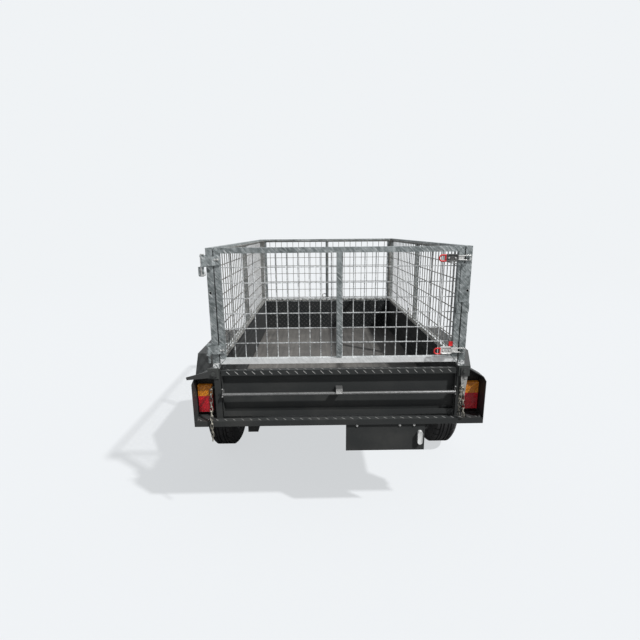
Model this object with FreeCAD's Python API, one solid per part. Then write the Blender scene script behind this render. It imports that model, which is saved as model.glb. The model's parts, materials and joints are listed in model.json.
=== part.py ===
"""Single-axle box trailer with a mesh cage, parked on its jockey wheel.

X runs across the trailer, Y points forward to the coupling and Z is up, in millimetres.
The origin is on the ground, under the middle of the trailer's overall length and width.
Each function below makes one sub-part, and the list at the end writes one STEP file for each.
"""

import FreeCAD, Part

import math
import os

Vector = FreeCAD.Vector

# Tub
TUB_WIDTH = 1200.0
TUB_LENGTH = 1830.0
TUB_DEPTH = 260.0
FLOOR_HEIGHT = 590.0
SHEET = 2.0
POST = 30.0
POST_WALL = 2.5
TOP_FOLD_RETURN = 24.0
RIB_WIDTH = 60.0
RIB_FACE = 34.0
RIB_SHARES = (0.27, 0.5, 0.73)

# Cage
CAGE_HEIGHT = 565.0
CAGE_TUBE = 25.0
WIRE = 4.0
WIRE_LAYER_GAP = 0.2
WIRE_PITCH_ACROSS = 51.3
WIRE_PITCH_UP = 72.0
FIRST_WIRE_BELOW_RAIL = 65.0
MESH_LAP = 13.0
GATE_GAP = 6.0
GATE_LIFT = 20.0
GATE_FIRST_WIRE = 55.0
CORNER_GAP = 0.8

# Tailgate
PAN_DEPTH = 24.0
PAN_LIP = 27.0
PAN_TOP_GAP = 12.0
PAN_END_GAP = 5.0
PAN_FLOOR_GAP = 11.0
HINGE_INSET = 14.0
TAIL_PIN_RADIUS = 6.0
TAIL_PIN_CLEARANCE = 0.3
ROD_RADIUS = 8.0
ROD_BELOW_TOP = 130.0
ROD_STANDOFF = 12.0
ROD_LUG = 3.0
ROD_LUG_HEIGHT = 30.0
CATCH_WIDTH = 32.0
CATCH_HEIGHT = 26.0

# Rear lamp housings
HOUSING_WIDTH = 102.0
HOUSING_SLOPE_DROP = 60.0
HOUSING_CORNER_DROP = 11.0
HOUSING_PLATE = 3.0
LAMP_WIDTH = 70.0
LAMP_HEIGHT = 140.0
LAMP_DEPTH = 30.0
LAMP_BASE_DEPTH = 8.0
LAMP_BELOW_TOP = 98.0
LAMP_SIDE_GAP = 5.0
LAMP_FACE_INSET = 30.0
AMBER_SHARE = 0.4
LENS_MARGIN = 1.5

# Chassis
BUMPER_REACH = 30.0
BUMPER_FACE = 28.0
BUMPER_RETURN = 20.0
MEMBER_HEIGHT = 38.0
MEMBER_WIDTH = 50.0
RAIL_WIDTH = 50.0
RAIL_HEIGHT = 50.0
RAIL_SPACING = 860.0
CROSS_MEMBERS = 5
DRAWBAR_REACH = 1090.0
DRAWBAR_WIDTH = 50.0
DRAWBAR_HEIGHT = 75.0
DRAWBAR_UNDER = 480.0
NOSE_PLATE_LENGTH = 190.0
NOSE_PLATE = 8.0
NOSE_HALF_WIDTH = 18.0

# Axle, springs and wheels
AXLE_FROM_REAR = 870.0
AXLE_BEAM = 40.0
SPRING_HALF_LENGTH = 300.0
SPRING_WIDTH = 45.0
LEAF = 7.0
LEAVES = 4
LEAF_STEP_SHARE = 0.2
EYE_RADIUS = 13.0
EYE_BELOW_RAIL = 50.0
HANGER_WIDTH = 60.0
HANGER_PLATE = 5.0
SEAT_PLATE = 8.0
UBOLT_RADIUS = 5.0
TYRE_RADIUS = 320.0
TYRE_WIDTH = 185.0
TYRE_GAP = 44.5
TYRE_WALL_SHARES = (
    (1.0, 0.52),
    (0.8, 1.0),
)
RIM_RADIUS = 178.0
RIM_WALL = 5.0
RIM_WIDTH = 140.0
RIM_LIP = 10.0
RIM_WELL = 25.0
WELL_EDGE_SHARES = (-0.6, -0.45, 0.1, 0.3)
DISC_CROWN_SHARE = 0.62
DISC_FACE_SHARE = 0.4
DISC_OUTER_SHARE = 0.62
DISC_INNER_SHARE = 0.45
HUB_RADIUS = 62.0
HUB_LENGTH = 60.0
SPINDLE_RADIUS = 16.0
SPINDLE_CLEARANCE = 0.3
CAP_RADIUS = 30.0
CAP_LENGTH = 34.0
STUD_CIRCLE = 54.0
STUD_RADIUS = 8.0
NUT_LENGTH = 15.0
STUD_SHARE = 0.6
STUDS = 5
WHEEL_HOLES = 8
WHEEL_HOLE_RADIUS = 17.0
WHEEL_HOLE_CIRCLE = 112.0

# Mudguards
GUARD_WIDTH = 245.0
GUARD_PLATE = 2.5
GUARD_ABOVE_FLOOR = 155.0
GUARD_TOP_HALF = 300.0
GUARD_FOOT_HALF = 440.0
GUARD_DROP = 200.0
GUARD_LIP = 28.0

# Coupling and jockey wheel
BALL_RADIUS = 25.3
SOCKET_WALL = 9.0
SOCKET_DEPTH = 24.0
COUPLING_HEIGHT = 58.0
COUPLING_LENGTH = 210.0
COUPLING_WIDTH = 62.0
COUPLING_CHEEK_SHARE = 0.8
COUPLING_LEVER_SHARES = (0.75, 0.25)
COUPLING_LEVER_RISE = 30.0
JOCKEY_FROM_BALL = 330.0
JOCKEY_TUBE_RADIUS = 24.0
JOCKEY_LEG_RADIUS = 19.0
JOCKEY_LEG_OVERLAP = 230.0
JOCKEY_TUBE_LENGTH = 420.0
JOCKEY_TUBE_ABOVE = 210.0
JOCKEY_OFFSET = 34.0
JOCKEY_WHEEL_RADIUS = 78.0
JOCKEY_WHEEL_WIDTH = 50.0
JOCKEY_TRAIL = 38.0
JOCKEY_WHEEL_SHARES = (
    (1.0, 0.3),
    (0.6, 0.42),
    (1.0, 0.6),
    (1.0, 0.86),
    (0.6, 1.0),
)
FORK_PLATE = 4.0
FORK_ROOM = 12.0
FORK_HALF_WIDTH = 15.0
CLAMP_HEIGHT = 60.0
CLAMP_WALL = 6.0
CLAMP_SCREW = 42.0
CRANK_REACH = 95.0
CRANK_RADIUS = 6.0
CRANK_RISE = 18.0
CRANK_GRIP = 57.0

# Gate hinges and latches
HINGE_OFFSET = 12.0
HINGE_PIN_RADIUS = 5.0
KNUCKLE_RADIUS = 9.0
KNUCKLE_HEIGHT = 40.0
STRAP = 6.0
HINGE_PLACE_SHARES = (0.138, 0.895)
LUG_PLATE = 5.0
PIN_DROP = 38.0
PIN_TAIL_REACH = 16.0
LATCH_LENGTH = 58.0
LATCH_FOOT = 32.0
LATCH_PLATE_DEPTH = 5.0
LATCH_HEIGHT = 34.0
LATCH_DEPTH = 28.0
LATCH_HANDLE = 34.0
LATCH_BAR = 7.0
LATCH_TONGUE_SHARE = 0.4
HOOK_PLATE = 5.0
HOOK_STANDOFF = 12.0
HOOK_RADIUS = 13.0
HOOK_PLAY = 3.0
KEEPER_INSET = 12.0
KEEPER_RADIUS = 5.0
LATCH_TOP_DROP = 52.0
LATCH_BOTTOM_RISE = 61.0

# Tailgate latch plates, levers and chains
LATCH_PLATE = 52.0
LATCH_PLATE_THICK = 4.0
BOLT_RADIUS = 6.0
BOLT_HEAD_RADIUS = 9.0
BOLT_HEAD = 6.0
LEVER_LENGTH = 130.0
LEVER_WIDTH = 34.0
LEVER_TIP_WIDTH = 14.0
LEVER_THICK = 4.0
LEVER_OUT_ANGLE = 10.0
CHAIN_BAR = 5.0
LINK_LENGTH = 32.0
LINK_WIDTH = 18.0
LINK_OUTER_CUT = 5.4
LINK_INNER_CUT = 1.2
LINK_PLAY = 0.3
LEFT_CHAIN_LINKS = 12
LEFT_CHAIN_SLANT_LINKS = 8
RIGHT_CHAIN_LINKS = 7
RIGHT_CHAIN_SPREADS = (-6.0, 12.0)
CHAIN_STANDOFF = 19.0
CHAIN_PLAY = 0.8
CHAIN_EYE_RADIUS = 2.2
CHAIN_LEDGE_GAP = 15.0
CHAIN_TOP_DROP = 95.0
RIGHT_CHAIN_INSET = 12.5
LEFT_CHAIN_OUT = 14.0

# Number plate bracket
PLATE_WIDTH = 389.0
PLATE_HEIGHT = 143.0
PLATE_LEFT = 33.0
PLATE_INSET = 8.0
PLATE_FLANGE = 20.0
PLATE_LAMP_HEIGHT = 70.0
PLATE_LAMP_WIDTH = 24.0
PLATE_LAMP_DEPTH = 16.0
PLATE_LAMP_INSET = 25.0

OVERRUN = 5.0

# Heights and lengths that follow from the sizes above
TUB_TOP = FLOOR_HEIGHT + TUB_DEPTH
CAGE_TOP = TUB_TOP + CAGE_HEIGHT
HALF_WIDTH = TUB_WIDTH / 2
INNER_HALF = HALF_WIDTH - POST
MEMBER_TOP = FLOOR_HEIGHT - SHEET
MEMBER_BOTTOM = MEMBER_TOP - MEMBER_HEIGHT
RAIL_BOTTOM = MEMBER_BOTTOM - RAIL_HEIGHT
DRAWBAR_BOTTOM = MEMBER_BOTTOM - DRAWBAR_HEIGHT
COUPLING_NOSE = BALL_RADIUS + SOCKET_WALL
CHAIN_LEDGE_Y = BUMPER_REACH + CHAIN_LEDGE_GAP
REAR_REACH = CHAIN_LEDGE_Y + LINK_WIDTH / 2
LENGTH = REAR_REACH + TUB_LENGTH + DRAWBAR_REACH + COUPLING_NOSE
REAR_Y = REAR_REACH - LENGTH / 2
FRONT_Y = REAR_Y + TUB_LENGTH
BALL_Y = FRONT_Y + DRAWBAR_REACH
AXLE_Y = REAR_Y + AXLE_FROM_REAR
AXLE_Z = TYRE_RADIUS
WHEEL_X = HALF_WIDTH + TYRE_GAP + TYRE_WIDTH / 2
FLOOR_REAR_Y = REAR_Y + POST
BUMPER_BOTTOM = FLOOR_HEIGHT - BUMPER_FACE
PAN_BOTTOM = FLOOR_HEIGHT + PAN_FLOOR_GAP


def box(x0, x1, y0, y1, z0, z1):
    """A block between two corners."""
    low = Vector(min(x0, x1), min(y0, y1), min(z0, z1))
    return Part.makeBox(abs(x1 - x0), abs(y1 - y0), abs(z1 - z0), low)


def mirrored(shape):
    """The same shape on the other side of the trailer."""
    return shape.mirror(Vector(0, 0, 0), Vector(1, 0, 0))


def rod(start, end, radius):
    """A round bar between two points."""
    along = end - start
    return Part.makeCylinder(radius, along.Length, start, along)


def fused(shapes):
    """One solid from several that touch or overlap."""
    first, *rest = shapes
    if not rest:
        return first
    return first.multiFuse(rest).removeSplitter()


def group(shapes):
    """Several separate solids kept in one sub-part."""
    return Part.makeCompound(shapes)


def plate(points, plane, start, depth):
    """A flat outline pulled into a solid. The plane names the two axes that the points give."""
    place = {
        "xy": lambda u, v: Vector(u, v, start),
        "xz": lambda u, v: Vector(u, start, v),
        "yz": lambda u, v: Vector(start, u, v),
    }[plane]
    pull = {"xy": Vector(0, 0, depth), "xz": Vector(0, depth, 0), "yz": Vector(depth, 0, 0)}[plane]
    wire = Part.makePolygon([place(u, v) for u, v in points] + [place(*points[0])])
    return Part.Face(wire).extrude(pull)


def offset_line(points, distance):
    """The open line of points moved sideways, with mitred corners."""
    moved = []
    for i, (u, v) in enumerate(points):
        normals = []
        for a, b in ((i - 1, i), (i, i + 1)):
            if a < 0 or b >= len(points):
                continue
            du, dv = points[b][0] - points[a][0], points[b][1] - points[a][1]
            size = math.hypot(du, dv)
            normals.append((-dv / size, du / size))
        nu, nv = sum(n[0] for n in normals), sum(n[1] for n in normals)
        scale = distance * len(normals) / (nu * nu + nv * nv)
        moved.append((u + nu * scale, v + nv * scale))
    return moved


def folded(points, plane, start, depth, thickness):
    """Folded sheet: an open line of points with a thickness to its left, pulled along the plane's normal."""
    outline = list(points) + offset_line(points, thickness)[::-1]
    return plate(outline, plane, start, depth)


def ring_profile(points, centre_x, centre_y, centre_z):
    """A solid turned about the X axis from (x, radius) points."""
    wire = Part.makePolygon([Vector(x, 0, r) for x, r in points] + [Vector(points[0][0], 0, points[0][1])])
    turned = Part.Face(wire).revolve(Vector(0, 0, 0), Vector(1, 0, 0), 360)
    turned.translate(Vector(centre_x, centre_y, centre_z))
    return turned


# Tub

def tub_floor():
    """Floor sheet between the sides, from the tailgate to the front wall."""
    return box(-INNER_HALF, INNER_HALF, FLOOR_REAR_Y, FRONT_Y - POST, FLOOR_HEIGHT - SHEET, FLOOR_HEIGHT)


def tub_side():
    """Right side sheet, with its top folded outwards into a box rail."""
    line = [
        (INNER_HALF, MEMBER_BOTTOM),
        (INNER_HALF, TUB_TOP),
        (HALF_WIDTH, TUB_TOP),
        (HALF_WIDTH, TUB_TOP - POST),
        (HALF_WIDTH - TOP_FOLD_RETURN, TUB_TOP - POST),
    ]
    inside = offset_line(line, -SHEET)
    outline = line + inside[::-1]
    side = plate(outline, "xz", REAR_Y + POST, TUB_LENGTH - 2 * POST)
    return side


def tub_front():
    """Front wall, with its top folded forwards into a box rail."""
    inner = FRONT_Y - POST
    line = [
        (inner, MEMBER_BOTTOM),
        (inner, TUB_TOP),
        (FRONT_Y, TUB_TOP),
        (FRONT_Y, TUB_TOP - POST),
        (FRONT_Y - TOP_FOLD_RETURN, TUB_TOP - POST),
    ]
    outline = line + offset_line(line, -SHEET)[::-1]
    return plate(outline, "yz", -INNER_HALF, 2 * INNER_HALF)


def side_ribs():
    """Folded channels that stiffen the two side sheets, let into the mudguards where these cross them."""
    ribs = []
    face_x = INNER_HALF + SHEET
    for share in RIB_SHARES:
        y = REAR_Y + share * TUB_LENGTH
        line = [
            (face_x, y - RIB_WIDTH / 2),
            (HALF_WIDTH, y - RIB_FACE / 2),
            (HALF_WIDTH, y + RIB_FACE / 2),
            (face_x, y + RIB_WIDTH / 2),
        ]
        outline = line + [
            (face_x, y + RIB_WIDTH / 2 - SHEET),
            (HALF_WIDTH - SHEET, y + RIB_FACE / 2 - SHEET),
            (HALF_WIDTH - SHEET, y - RIB_FACE / 2 + SHEET),
            (face_x, y - RIB_WIDTH / 2 + SHEET),
        ]
        rib = plate(outline, "xy", MEMBER_BOTTOM, TUB_TOP - POST - MEMBER_BOTTOM)
        ribs += rib.cut(mudguard()).Solids
    return group(ribs + [mirrored(r) for r in ribs])


def corner_posts():
    """Four square posts at the tub's corners. The rear pair carries the tailgate pins."""
    rear = box(INNER_HALF, HALF_WIDTH, REAR_Y, REAR_Y + POST, FLOOR_HEIGHT, TUB_TOP).cut(tail_pin_bore())
    front = box(INNER_HALF, HALF_WIDTH, FRONT_Y - POST, FRONT_Y, MEMBER_BOTTOM, TUB_TOP)
    return group([rear, mirrored(rear), front, mirrored(front)])


def tail_hinge_line():
    """Where the tailgate turns: (y, z) of its pins."""
    return REAR_Y + HINGE_INSET, PAN_BOTTOM + HINGE_INSET


def tail_pin_bore():
    y, z = tail_hinge_line()
    radius = TAIL_PIN_RADIUS + TAIL_PIN_CLEARANCE
    return rod(Vector(INNER_HALF - OVERRUN, y, z), Vector(HALF_WIDTH - POST_WALL, y, z), radius)


# Chassis

def cross_members():
    """Cross tubes under the floor, from side sheet to side sheet."""
    first = FLOOR_REAR_Y
    last = FRONT_Y - POST - MEMBER_WIDTH
    step = (last - first) / (CROSS_MEMBERS - 1)
    tubes = []
    for i in range(CROSS_MEMBERS):
        y = first + i * step
        tubes.append(box(-INNER_HALF, INNER_HALF, y, y + MEMBER_WIDTH, MEMBER_BOTTOM, MEMBER_TOP))
    return group(tubes)


def rear_bumper():
    """Folded channel across the rear, wide enough to stand the lamp housings on."""
    half = HALF_WIDTH + HOUSING_WIDTH
    rear = REAR_Y - BUMPER_REACH
    line = [
        (FLOOR_REAR_Y, BUMPER_BOTTOM),
        (FLOOR_REAR_Y, FLOOR_HEIGHT),
        (rear, FLOOR_HEIGHT),
        (rear, BUMPER_BOTTOM),
        (rear + BUMPER_RETURN, BUMPER_BOTTOM),
    ]
    return plate(line + offset_line(line, HOUSING_PLATE)[::-1], "yz", -half, 2 * half)


def chassis_rails():
    """Two straight rails under the cross tubes, from the rear bumper to the front wall."""
    x = RAIL_SPACING / 2
    half = RAIL_WIDTH / 2
    rail = box(x - half, x + half, FLOOR_REAR_Y, FRONT_Y, RAIL_BOTTOM, MEMBER_BOTTOM)
    return group([rail, mirrored(rail)])


def drawbar_ends():
    """The right drawbar arm's middle line: its start at the rail and its end at the nose."""
    start = (RAIL_SPACING / 2 - RAIL_WIDTH / 2, FRONT_Y - DRAWBAR_UNDER)
    end = (NOSE_HALF_WIDTH, BALL_Y - COUPLING_LENGTH / 2)
    return start, end


def drawbar():
    """Two tubes that run from the inner faces of the rails and meet at the nose."""
    (x0, y0), (x1, y1) = drawbar_ends()
    slant = (x0 - x1) / (y1 - y0)
    across = DRAWBAR_WIDTH / 2 * math.hypot(slant, 1.0)
    outline = [
        (x0 + slant * DRAWBAR_WIDTH + across, y0 - DRAWBAR_WIDTH),
        (x1 + across, y1),
        (x1 - across, y1),
        (x0 + slant * DRAWBAR_WIDTH - across, y0 - DRAWBAR_WIDTH),
    ]
    arm = plate(outline, "xy", DRAWBAR_BOTTOM, DRAWBAR_HEIGHT)
    right = arm.common(box(0, x0, REAR_Y, LENGTH, DRAWBAR_BOTTOM, MEMBER_BOTTOM))
    return fused([right, mirrored(right), nose_plate()])


def drawbar_line_x(y):
    """Middle of the right drawbar arm at a distance along the trailer."""
    (x0, y0), (x1, y1) = drawbar_ends()
    return x0 + (x1 - x0) * (y - y0) / (y1 - y0)


def nose_plate():
    """Flat plate welded on the drawbar arms, which carries the coupling."""
    front = BALL_Y - COUPLING_LENGTH / 2
    back = front - NOSE_PLATE_LENGTH
    front_half = NOSE_HALF_WIDTH + DRAWBAR_WIDTH / 2
    back_half = drawbar_line_x(back) + DRAWBAR_WIDTH / 2
    outline = [
        (front_half, front),
        (back_half, back),
        (-back_half, back),
        (-front_half, front),
    ]
    return plate(outline, "xy", MEMBER_BOTTOM, NOSE_PLATE)


# Axle and springs

def spring_x():
    return RAIL_SPACING / 2


def axle():
    """Square beam with a round spindle at each end."""
    beam_half = HALF_WIDTH + TYRE_GAP / 2
    half = AXLE_BEAM / 2
    beam = box(-beam_half, beam_half, AXLE_Y - half, AXLE_Y + half, AXLE_Z - half, AXLE_Z + half)
    end = WHEEL_X + HUB_LENGTH / 2
    spindle = rod(Vector(-end, AXLE_Y, AXLE_Z), Vector(end, AXLE_Y, AXLE_Z), SPINDLE_RADIUS)
    return fused([beam, spindle])


def leaf(index):
    """One leaf, an arc that sits on the leaf below it. The longest leaf carries the eyes."""
    rise = RAIL_BOTTOM - EYE_BELOW_RAIL - (AXLE_Z + AXLE_BEAM / 2 + (LEAVES - 1) * LEAF)
    radius = (SPRING_HALF_LENGTH ** 2 + rise ** 2) / (2 * rise)
    reach = SPRING_HALF_LENGTH * (1 - LEAF_STEP_SHARE * index)
    under = radius + index * LEAF
    inner = under - LEAF
    angle = math.asin(reach / radius)
    centre_z = AXLE_Z + AXLE_BEAM / 2 + (LEAVES - 1) * LEAF + radius

    def spot(size, turn):
        return Vector(0, AXLE_Y + size * math.sin(turn), centre_z - size * math.cos(turn))

    edges = [
        Part.Arc(spot(under, -angle), spot(under, 0), spot(under, angle)).toShape(),
        Part.makeLine(spot(under, angle), spot(inner, angle)),
        Part.Arc(spot(inner, angle), spot(inner, 0), spot(inner, -angle)).toShape(),
        Part.makeLine(spot(inner, -angle), spot(under, -angle)),
    ]
    face = Part.Face(Part.Wire(edges))
    solid = face.extrude(Vector(SPRING_WIDTH, 0, 0))
    solid.translate(Vector(spring_x() - SPRING_WIDTH / 2, 0, 0))
    return solid


def eye_centres():
    """(y, z) of the two spring eyes."""
    z = RAIL_BOTTOM - EYE_BELOW_RAIL
    return [(AXLE_Y - SPRING_HALF_LENGTH, z), (AXLE_Y + SPRING_HALF_LENGTH, z)]


def leaf_springs():
    """A pack of leaves on each side, with the main leaf rolled into an eye at each end."""
    solids = [leaf(i) for i in range(LEAVES)]
    half = SPRING_WIDTH / 2
    for y, z in eye_centres():
        solids.append(rod(Vector(spring_x() - half, y, z), Vector(spring_x() + half, y, z), EYE_RADIUS))
    pack = fused(solids)
    return group([pack, mirrored(pack)])


def spring_hangers():
    """Cheek plates and a pin at each end of each spring, welded under the rail."""
    hangers = []
    inner = SPRING_WIDTH / 2 + LINK_PLAY
    for y, z in eye_centres():
        cheeks = []
        for side in (-1, 1):
            x = spring_x() + side * inner
            outline = [
                (y - HANGER_WIDTH / 2, RAIL_BOTTOM),
                (y + HANGER_WIDTH / 2, RAIL_BOTTOM),
                (y + EYE_RADIUS, z - EYE_RADIUS),
                (y - EYE_RADIUS, z - EYE_RADIUS),
            ]
            cheeks.append(plate(outline, "yz", x, side * HANGER_PLATE))
        for side in (-1, 1):
            x = spring_x() + side * (inner + HANGER_PLATE)
            head = rod(Vector(x, y, z), Vector(x + side * BOLT_HEAD, y, z), BOLT_HEAD_RADIUS)
            cheeks[(side + 1) // 2] = fused([cheeks[(side + 1) // 2], head])
        hangers += cheeks
    return group(hangers + [mirrored(h) for h in hangers])


def spring_seats():
    """Clamp plate bedded on the leaves, with two U-bolts round the axle."""
    top = AXLE_Z + AXLE_BEAM / 2 + LEAVES * LEAF
    half_x = SPRING_WIDTH / 2 + 2 * UBOLT_RADIUS
    half_y = AXLE_BEAM / 2 + 2 * UBOLT_RADIUS
    pad = box(
        spring_x() - half_x, spring_x() + half_x, AXLE_Y - half_y, AXLE_Y + half_y, top, top + SEAT_PLATE
    )
    solids = [pad]
    low = AXLE_Z - AXLE_BEAM / 2 - UBOLT_RADIUS
    for sx in (-1, 1):
        x = spring_x() + sx * (SPRING_WIDTH / 2 + UBOLT_RADIUS + LINK_PLAY)
        for sy in (-1, 1):
            y = AXLE_Y + sy * (AXLE_BEAM / 2 + UBOLT_RADIUS)
            solids.append(rod(Vector(x, y, low), Vector(x, y, top + 2 * SEAT_PLATE), UBOLT_RADIUS))
        solids.append(
            box(
                x - UBOLT_RADIUS, x + UBOLT_RADIUS,
                AXLE_Y - AXLE_BEAM / 2 - 2 * UBOLT_RADIUS, AXLE_Y + AXLE_BEAM / 2 + 2 * UBOLT_RADIUS,
                low - UBOLT_RADIUS, low + UBOLT_RADIUS,
            )
        )
    seat = fused(solids).cut(leaf(0))
    return group([seat, mirrored(seat)])


# Wheels

def tyre():
    """Tyre of the right wheel: sidewalls that bulge past the beads and a flat tread."""
    half = TYRE_WIDTH / 2
    bead = RIM_WIDTH / 2 - LINK_PLAY
    section = TYRE_RADIUS - RIM_RADIUS
    points = [(-bead, RIM_RADIUS), (-bead, RIM_RADIUS + RIM_LIP)]
    points += [(-half * across, RIM_RADIUS + section * out) for across, out in TYRE_WALL_SHARES]
    outline = points + [(-x, r) for x, r in points[::-1]]
    return ring_profile(outline, WHEEL_X, AXLE_Y, AXLE_Z)


def disc_face():
    """Where the middle of the wheel's disc ends on the outside, measured across the trailer."""
    return WHEEL_X + RIM_WIDTH / 2 * DISC_FACE_SHARE


def rim():
    """Pressed steel rim and disc of the right wheel, with round holes near the rim."""
    half = RIM_WIDTH / 2
    seat = RIM_RADIUS - LINK_PLAY
    well = seat - RIM_WELL
    edges = [half * share for share in WELL_EDGE_SHARES]
    crown = half * DISC_CROWN_SHARE
    face = half * DISC_FACE_SHARE
    outer = RIM_RADIUS * DISC_OUTER_SHARE
    inner = RIM_RADIUS * DISC_INNER_SHARE
    outline = [
        (-half - RIM_WALL, seat + RIM_LIP),
        (-half, seat + RIM_LIP),
        (-half, seat),
        (edges[0], seat),
        (edges[1], well),
        (edges[2], well),
        (edges[3], seat),
        (half, seat),
        (half, seat + RIM_LIP),
        (half + RIM_WALL, seat + RIM_LIP),
        (half + RIM_WALL, seat - RIM_WALL),
        (edges[3] + RIM_WALL, seat - RIM_WALL),
        (crown, outer),
        (crown, inner),
        (face, HUB_RADIUS),
        (face, CAP_RADIUS + LINK_PLAY),
        (face - RIM_WALL, CAP_RADIUS + LINK_PLAY),
        (face - RIM_WALL, HUB_RADIUS + RIM_WALL),
        (crown - RIM_WALL, inner + RIM_WALL),
        (crown - RIM_WALL, outer - RIM_WALL),
        (edges[2], well - RIM_WALL),
        (edges[1], well - RIM_WALL),
        (edges[0] - RIM_WALL, seat - RIM_WALL),
        (-half - RIM_WALL, seat - RIM_WALL),
    ]
    turned = ring_profile(outline, WHEEL_X, AXLE_Y, AXLE_Z)
    for i in range(WHEEL_HOLES):
        angle = 2 * math.pi * i / WHEEL_HOLES
        y = AXLE_Y + WHEEL_HOLE_CIRCLE * math.cos(angle)
        z = AXLE_Z + WHEEL_HOLE_CIRCLE * math.sin(angle)
        hole = rod(Vector(WHEEL_X, y, z), Vector(WHEEL_X + RIM_WIDTH, y, z), WHEEL_HOLE_RADIUS)
        turned = turned.cut(hole)
    for y, z in stud_places():
        hole = rod(Vector(WHEEL_X, y, z), Vector(WHEEL_X + RIM_WIDTH, y, z), STUD_RADIUS * STUD_SHARE + LINK_PLAY)
        turned = turned.cut(hole)
    return turned


def stud_places():
    """(y, z) of each wheel stud."""
    turns = [2 * math.pi * i / STUDS + math.pi / 2 for i in range(STUDS)]
    return [(AXLE_Y + STUD_CIRCLE * math.cos(t), AXLE_Z + STUD_CIRCLE * math.sin(t)) for t in turns]


def hub():
    """Right hub on its spindle, with wheel nuts and a dust cap."""
    face = disc_face() - RIM_WALL
    barrel = rod(Vector(face - HUB_LENGTH, AXLE_Y, AXLE_Z), Vector(face, AXLE_Y, AXLE_Z), CAP_RADIUS + RIM_WALL)
    flange = rod(Vector(face - 2 * RIM_WALL, AXLE_Y, AXLE_Z), Vector(face, AXLE_Y, AXLE_Z), HUB_RADIUS)
    cap = rod(Vector(face, AXLE_Y, AXLE_Z), Vector(face + CAP_LENGTH, AXLE_Y, AXLE_Z), CAP_RADIUS)
    solids = [barrel, flange, cap]
    for y, z in stud_places():
        nut = rod(Vector(face + RIM_WALL, y, z), Vector(face + RIM_WALL + NUT_LENGTH, y, z), STUD_RADIUS)
        stud = rod(Vector(face - RIM_WALL, y, z), Vector(face + 2 * RIM_WALL, y, z), STUD_RADIUS * STUD_SHARE)
        solids += [nut, stud]
    body = fused(solids)
    bore = rod(
        Vector(face - HUB_LENGTH - OVERRUN, AXLE_Y, AXLE_Z),
        Vector(WHEEL_X + HUB_LENGTH / 2 + SPINDLE_CLEARANCE, AXLE_Y, AXLE_Z),
        SPINDLE_RADIUS + SPINDLE_CLEARANCE,
    )
    return body.cut(bore)


def mudguard():
    """Right mudguard: flat top, sloping ends and a lip along its outer edge. It starts at the side sheet."""
    inner = INNER_HALF + SHEET
    outer = HALF_WIDTH + GUARD_WIDTH
    top = FLOOR_HEIGHT + GUARD_ABOVE_FLOOR
    line = [
        (AXLE_Y - GUARD_FOOT_HALF, top - GUARD_DROP),
        (AXLE_Y - GUARD_TOP_HALF, top),
        (AXLE_Y + GUARD_TOP_HALF, top),
        (AXLE_Y + GUARD_FOOT_HALF, top - GUARD_DROP),
    ]
    skin = folded(line, "yz", inner, outer - inner, GUARD_PLATE)
    lip_line = offset_line(line, -GUARD_LIP)
    lip = plate(line + lip_line[::-1], "yz", outer - GUARD_PLATE, GUARD_PLATE)
    return fused([skin, lip])


# Rear lamp housings

def lamp_housing():
    """Right lamp housing, open to the rear: sloping top, outer plate, back and floor. It stands on the bumper."""
    outer = HALF_WIDTH + HOUSING_WIDTH
    back_y = REAR_Y + LAMP_FACE_INSET + LAMP_DEPTH
    line = [
        (HALF_WIDTH, TUB_TOP),
        (outer, TUB_TOP - HOUSING_SLOPE_DROP),
        (outer, FLOOR_HEIGHT),
    ]
    inside = offset_line(line, -HOUSING_PLATE)
    inside[0] = (HALF_WIDTH, TUB_TOP - HOUSING_PLATE)
    skin = plate(line + inside[::-1], "xz", REAR_Y, back_y - REAR_Y)
    back = plate(line + [(HALF_WIDTH, FLOOR_HEIGHT)], "xz", back_y, HOUSING_PLATE)
    wing = box(
        INNER_HALF + SHEET, HALF_WIDTH, back_y, back_y + HOUSING_PLATE, FLOOR_HEIGHT, TUB_TOP - POST
    )
    floor = box(
        HALF_WIDTH, outer, REAR_Y + POST, back_y, FLOOR_HEIGHT, FLOOR_HEIGHT + HOUSING_PLATE
    )
    top = TUB_TOP - HOUSING_SLOPE_DROP
    side = [
        (REAR_Y, FLOOR_HEIGHT),
        (REAR_Y, top),
        (REAR_Y - BUMPER_REACH, top - HOUSING_CORNER_DROP),
        (REAR_Y - BUMPER_REACH, FLOOR_HEIGHT),
    ]
    return fused([skin, back, wing, floor, plate(side, "yz", outer, -HOUSING_PLATE)])


def lamp_frame():
    """Edges of the right lamp: outer x, inner x, top z, bottom z, face y."""
    x1 = HALF_WIDTH + HOUSING_WIDTH - HOUSING_PLATE - LAMP_SIDE_GAP
    x0 = x1 - LAMP_WIDTH
    z1 = TUB_TOP - LAMP_BELOW_TOP
    return x0, x1, z1 - LAMP_HEIGHT, z1, REAR_Y + LAMP_FACE_INSET


def lamp_base():
    x0, x1, z0, z1, face = lamp_frame()
    base = box(x0, x1, face + LAMP_DEPTH - LAMP_BASE_DEPTH, face + LAMP_DEPTH, z0, z1)
    return group([base, mirrored(base)])


def lamp_lens(low_share, high_share):
    """The part of both lenses between two shares of the lamp's height."""
    x0, x1, z0, z1, face = lamp_frame()
    low = z0 + low_share * (z1 - z0)
    high = z0 + high_share * (z1 - z0)
    lens = box(x0 + LENS_MARGIN, x1 - LENS_MARGIN, face, face + LAMP_DEPTH - LAMP_BASE_DEPTH, low, high)
    edges = [e for e in lens.Edges if abs(e.CenterOfMass.y - face) < LENS_MARGIN]
    lens = lens.makeFillet(LENS_MARGIN, edges)
    return group([lens, mirrored(lens)])


# Tailgate

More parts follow.
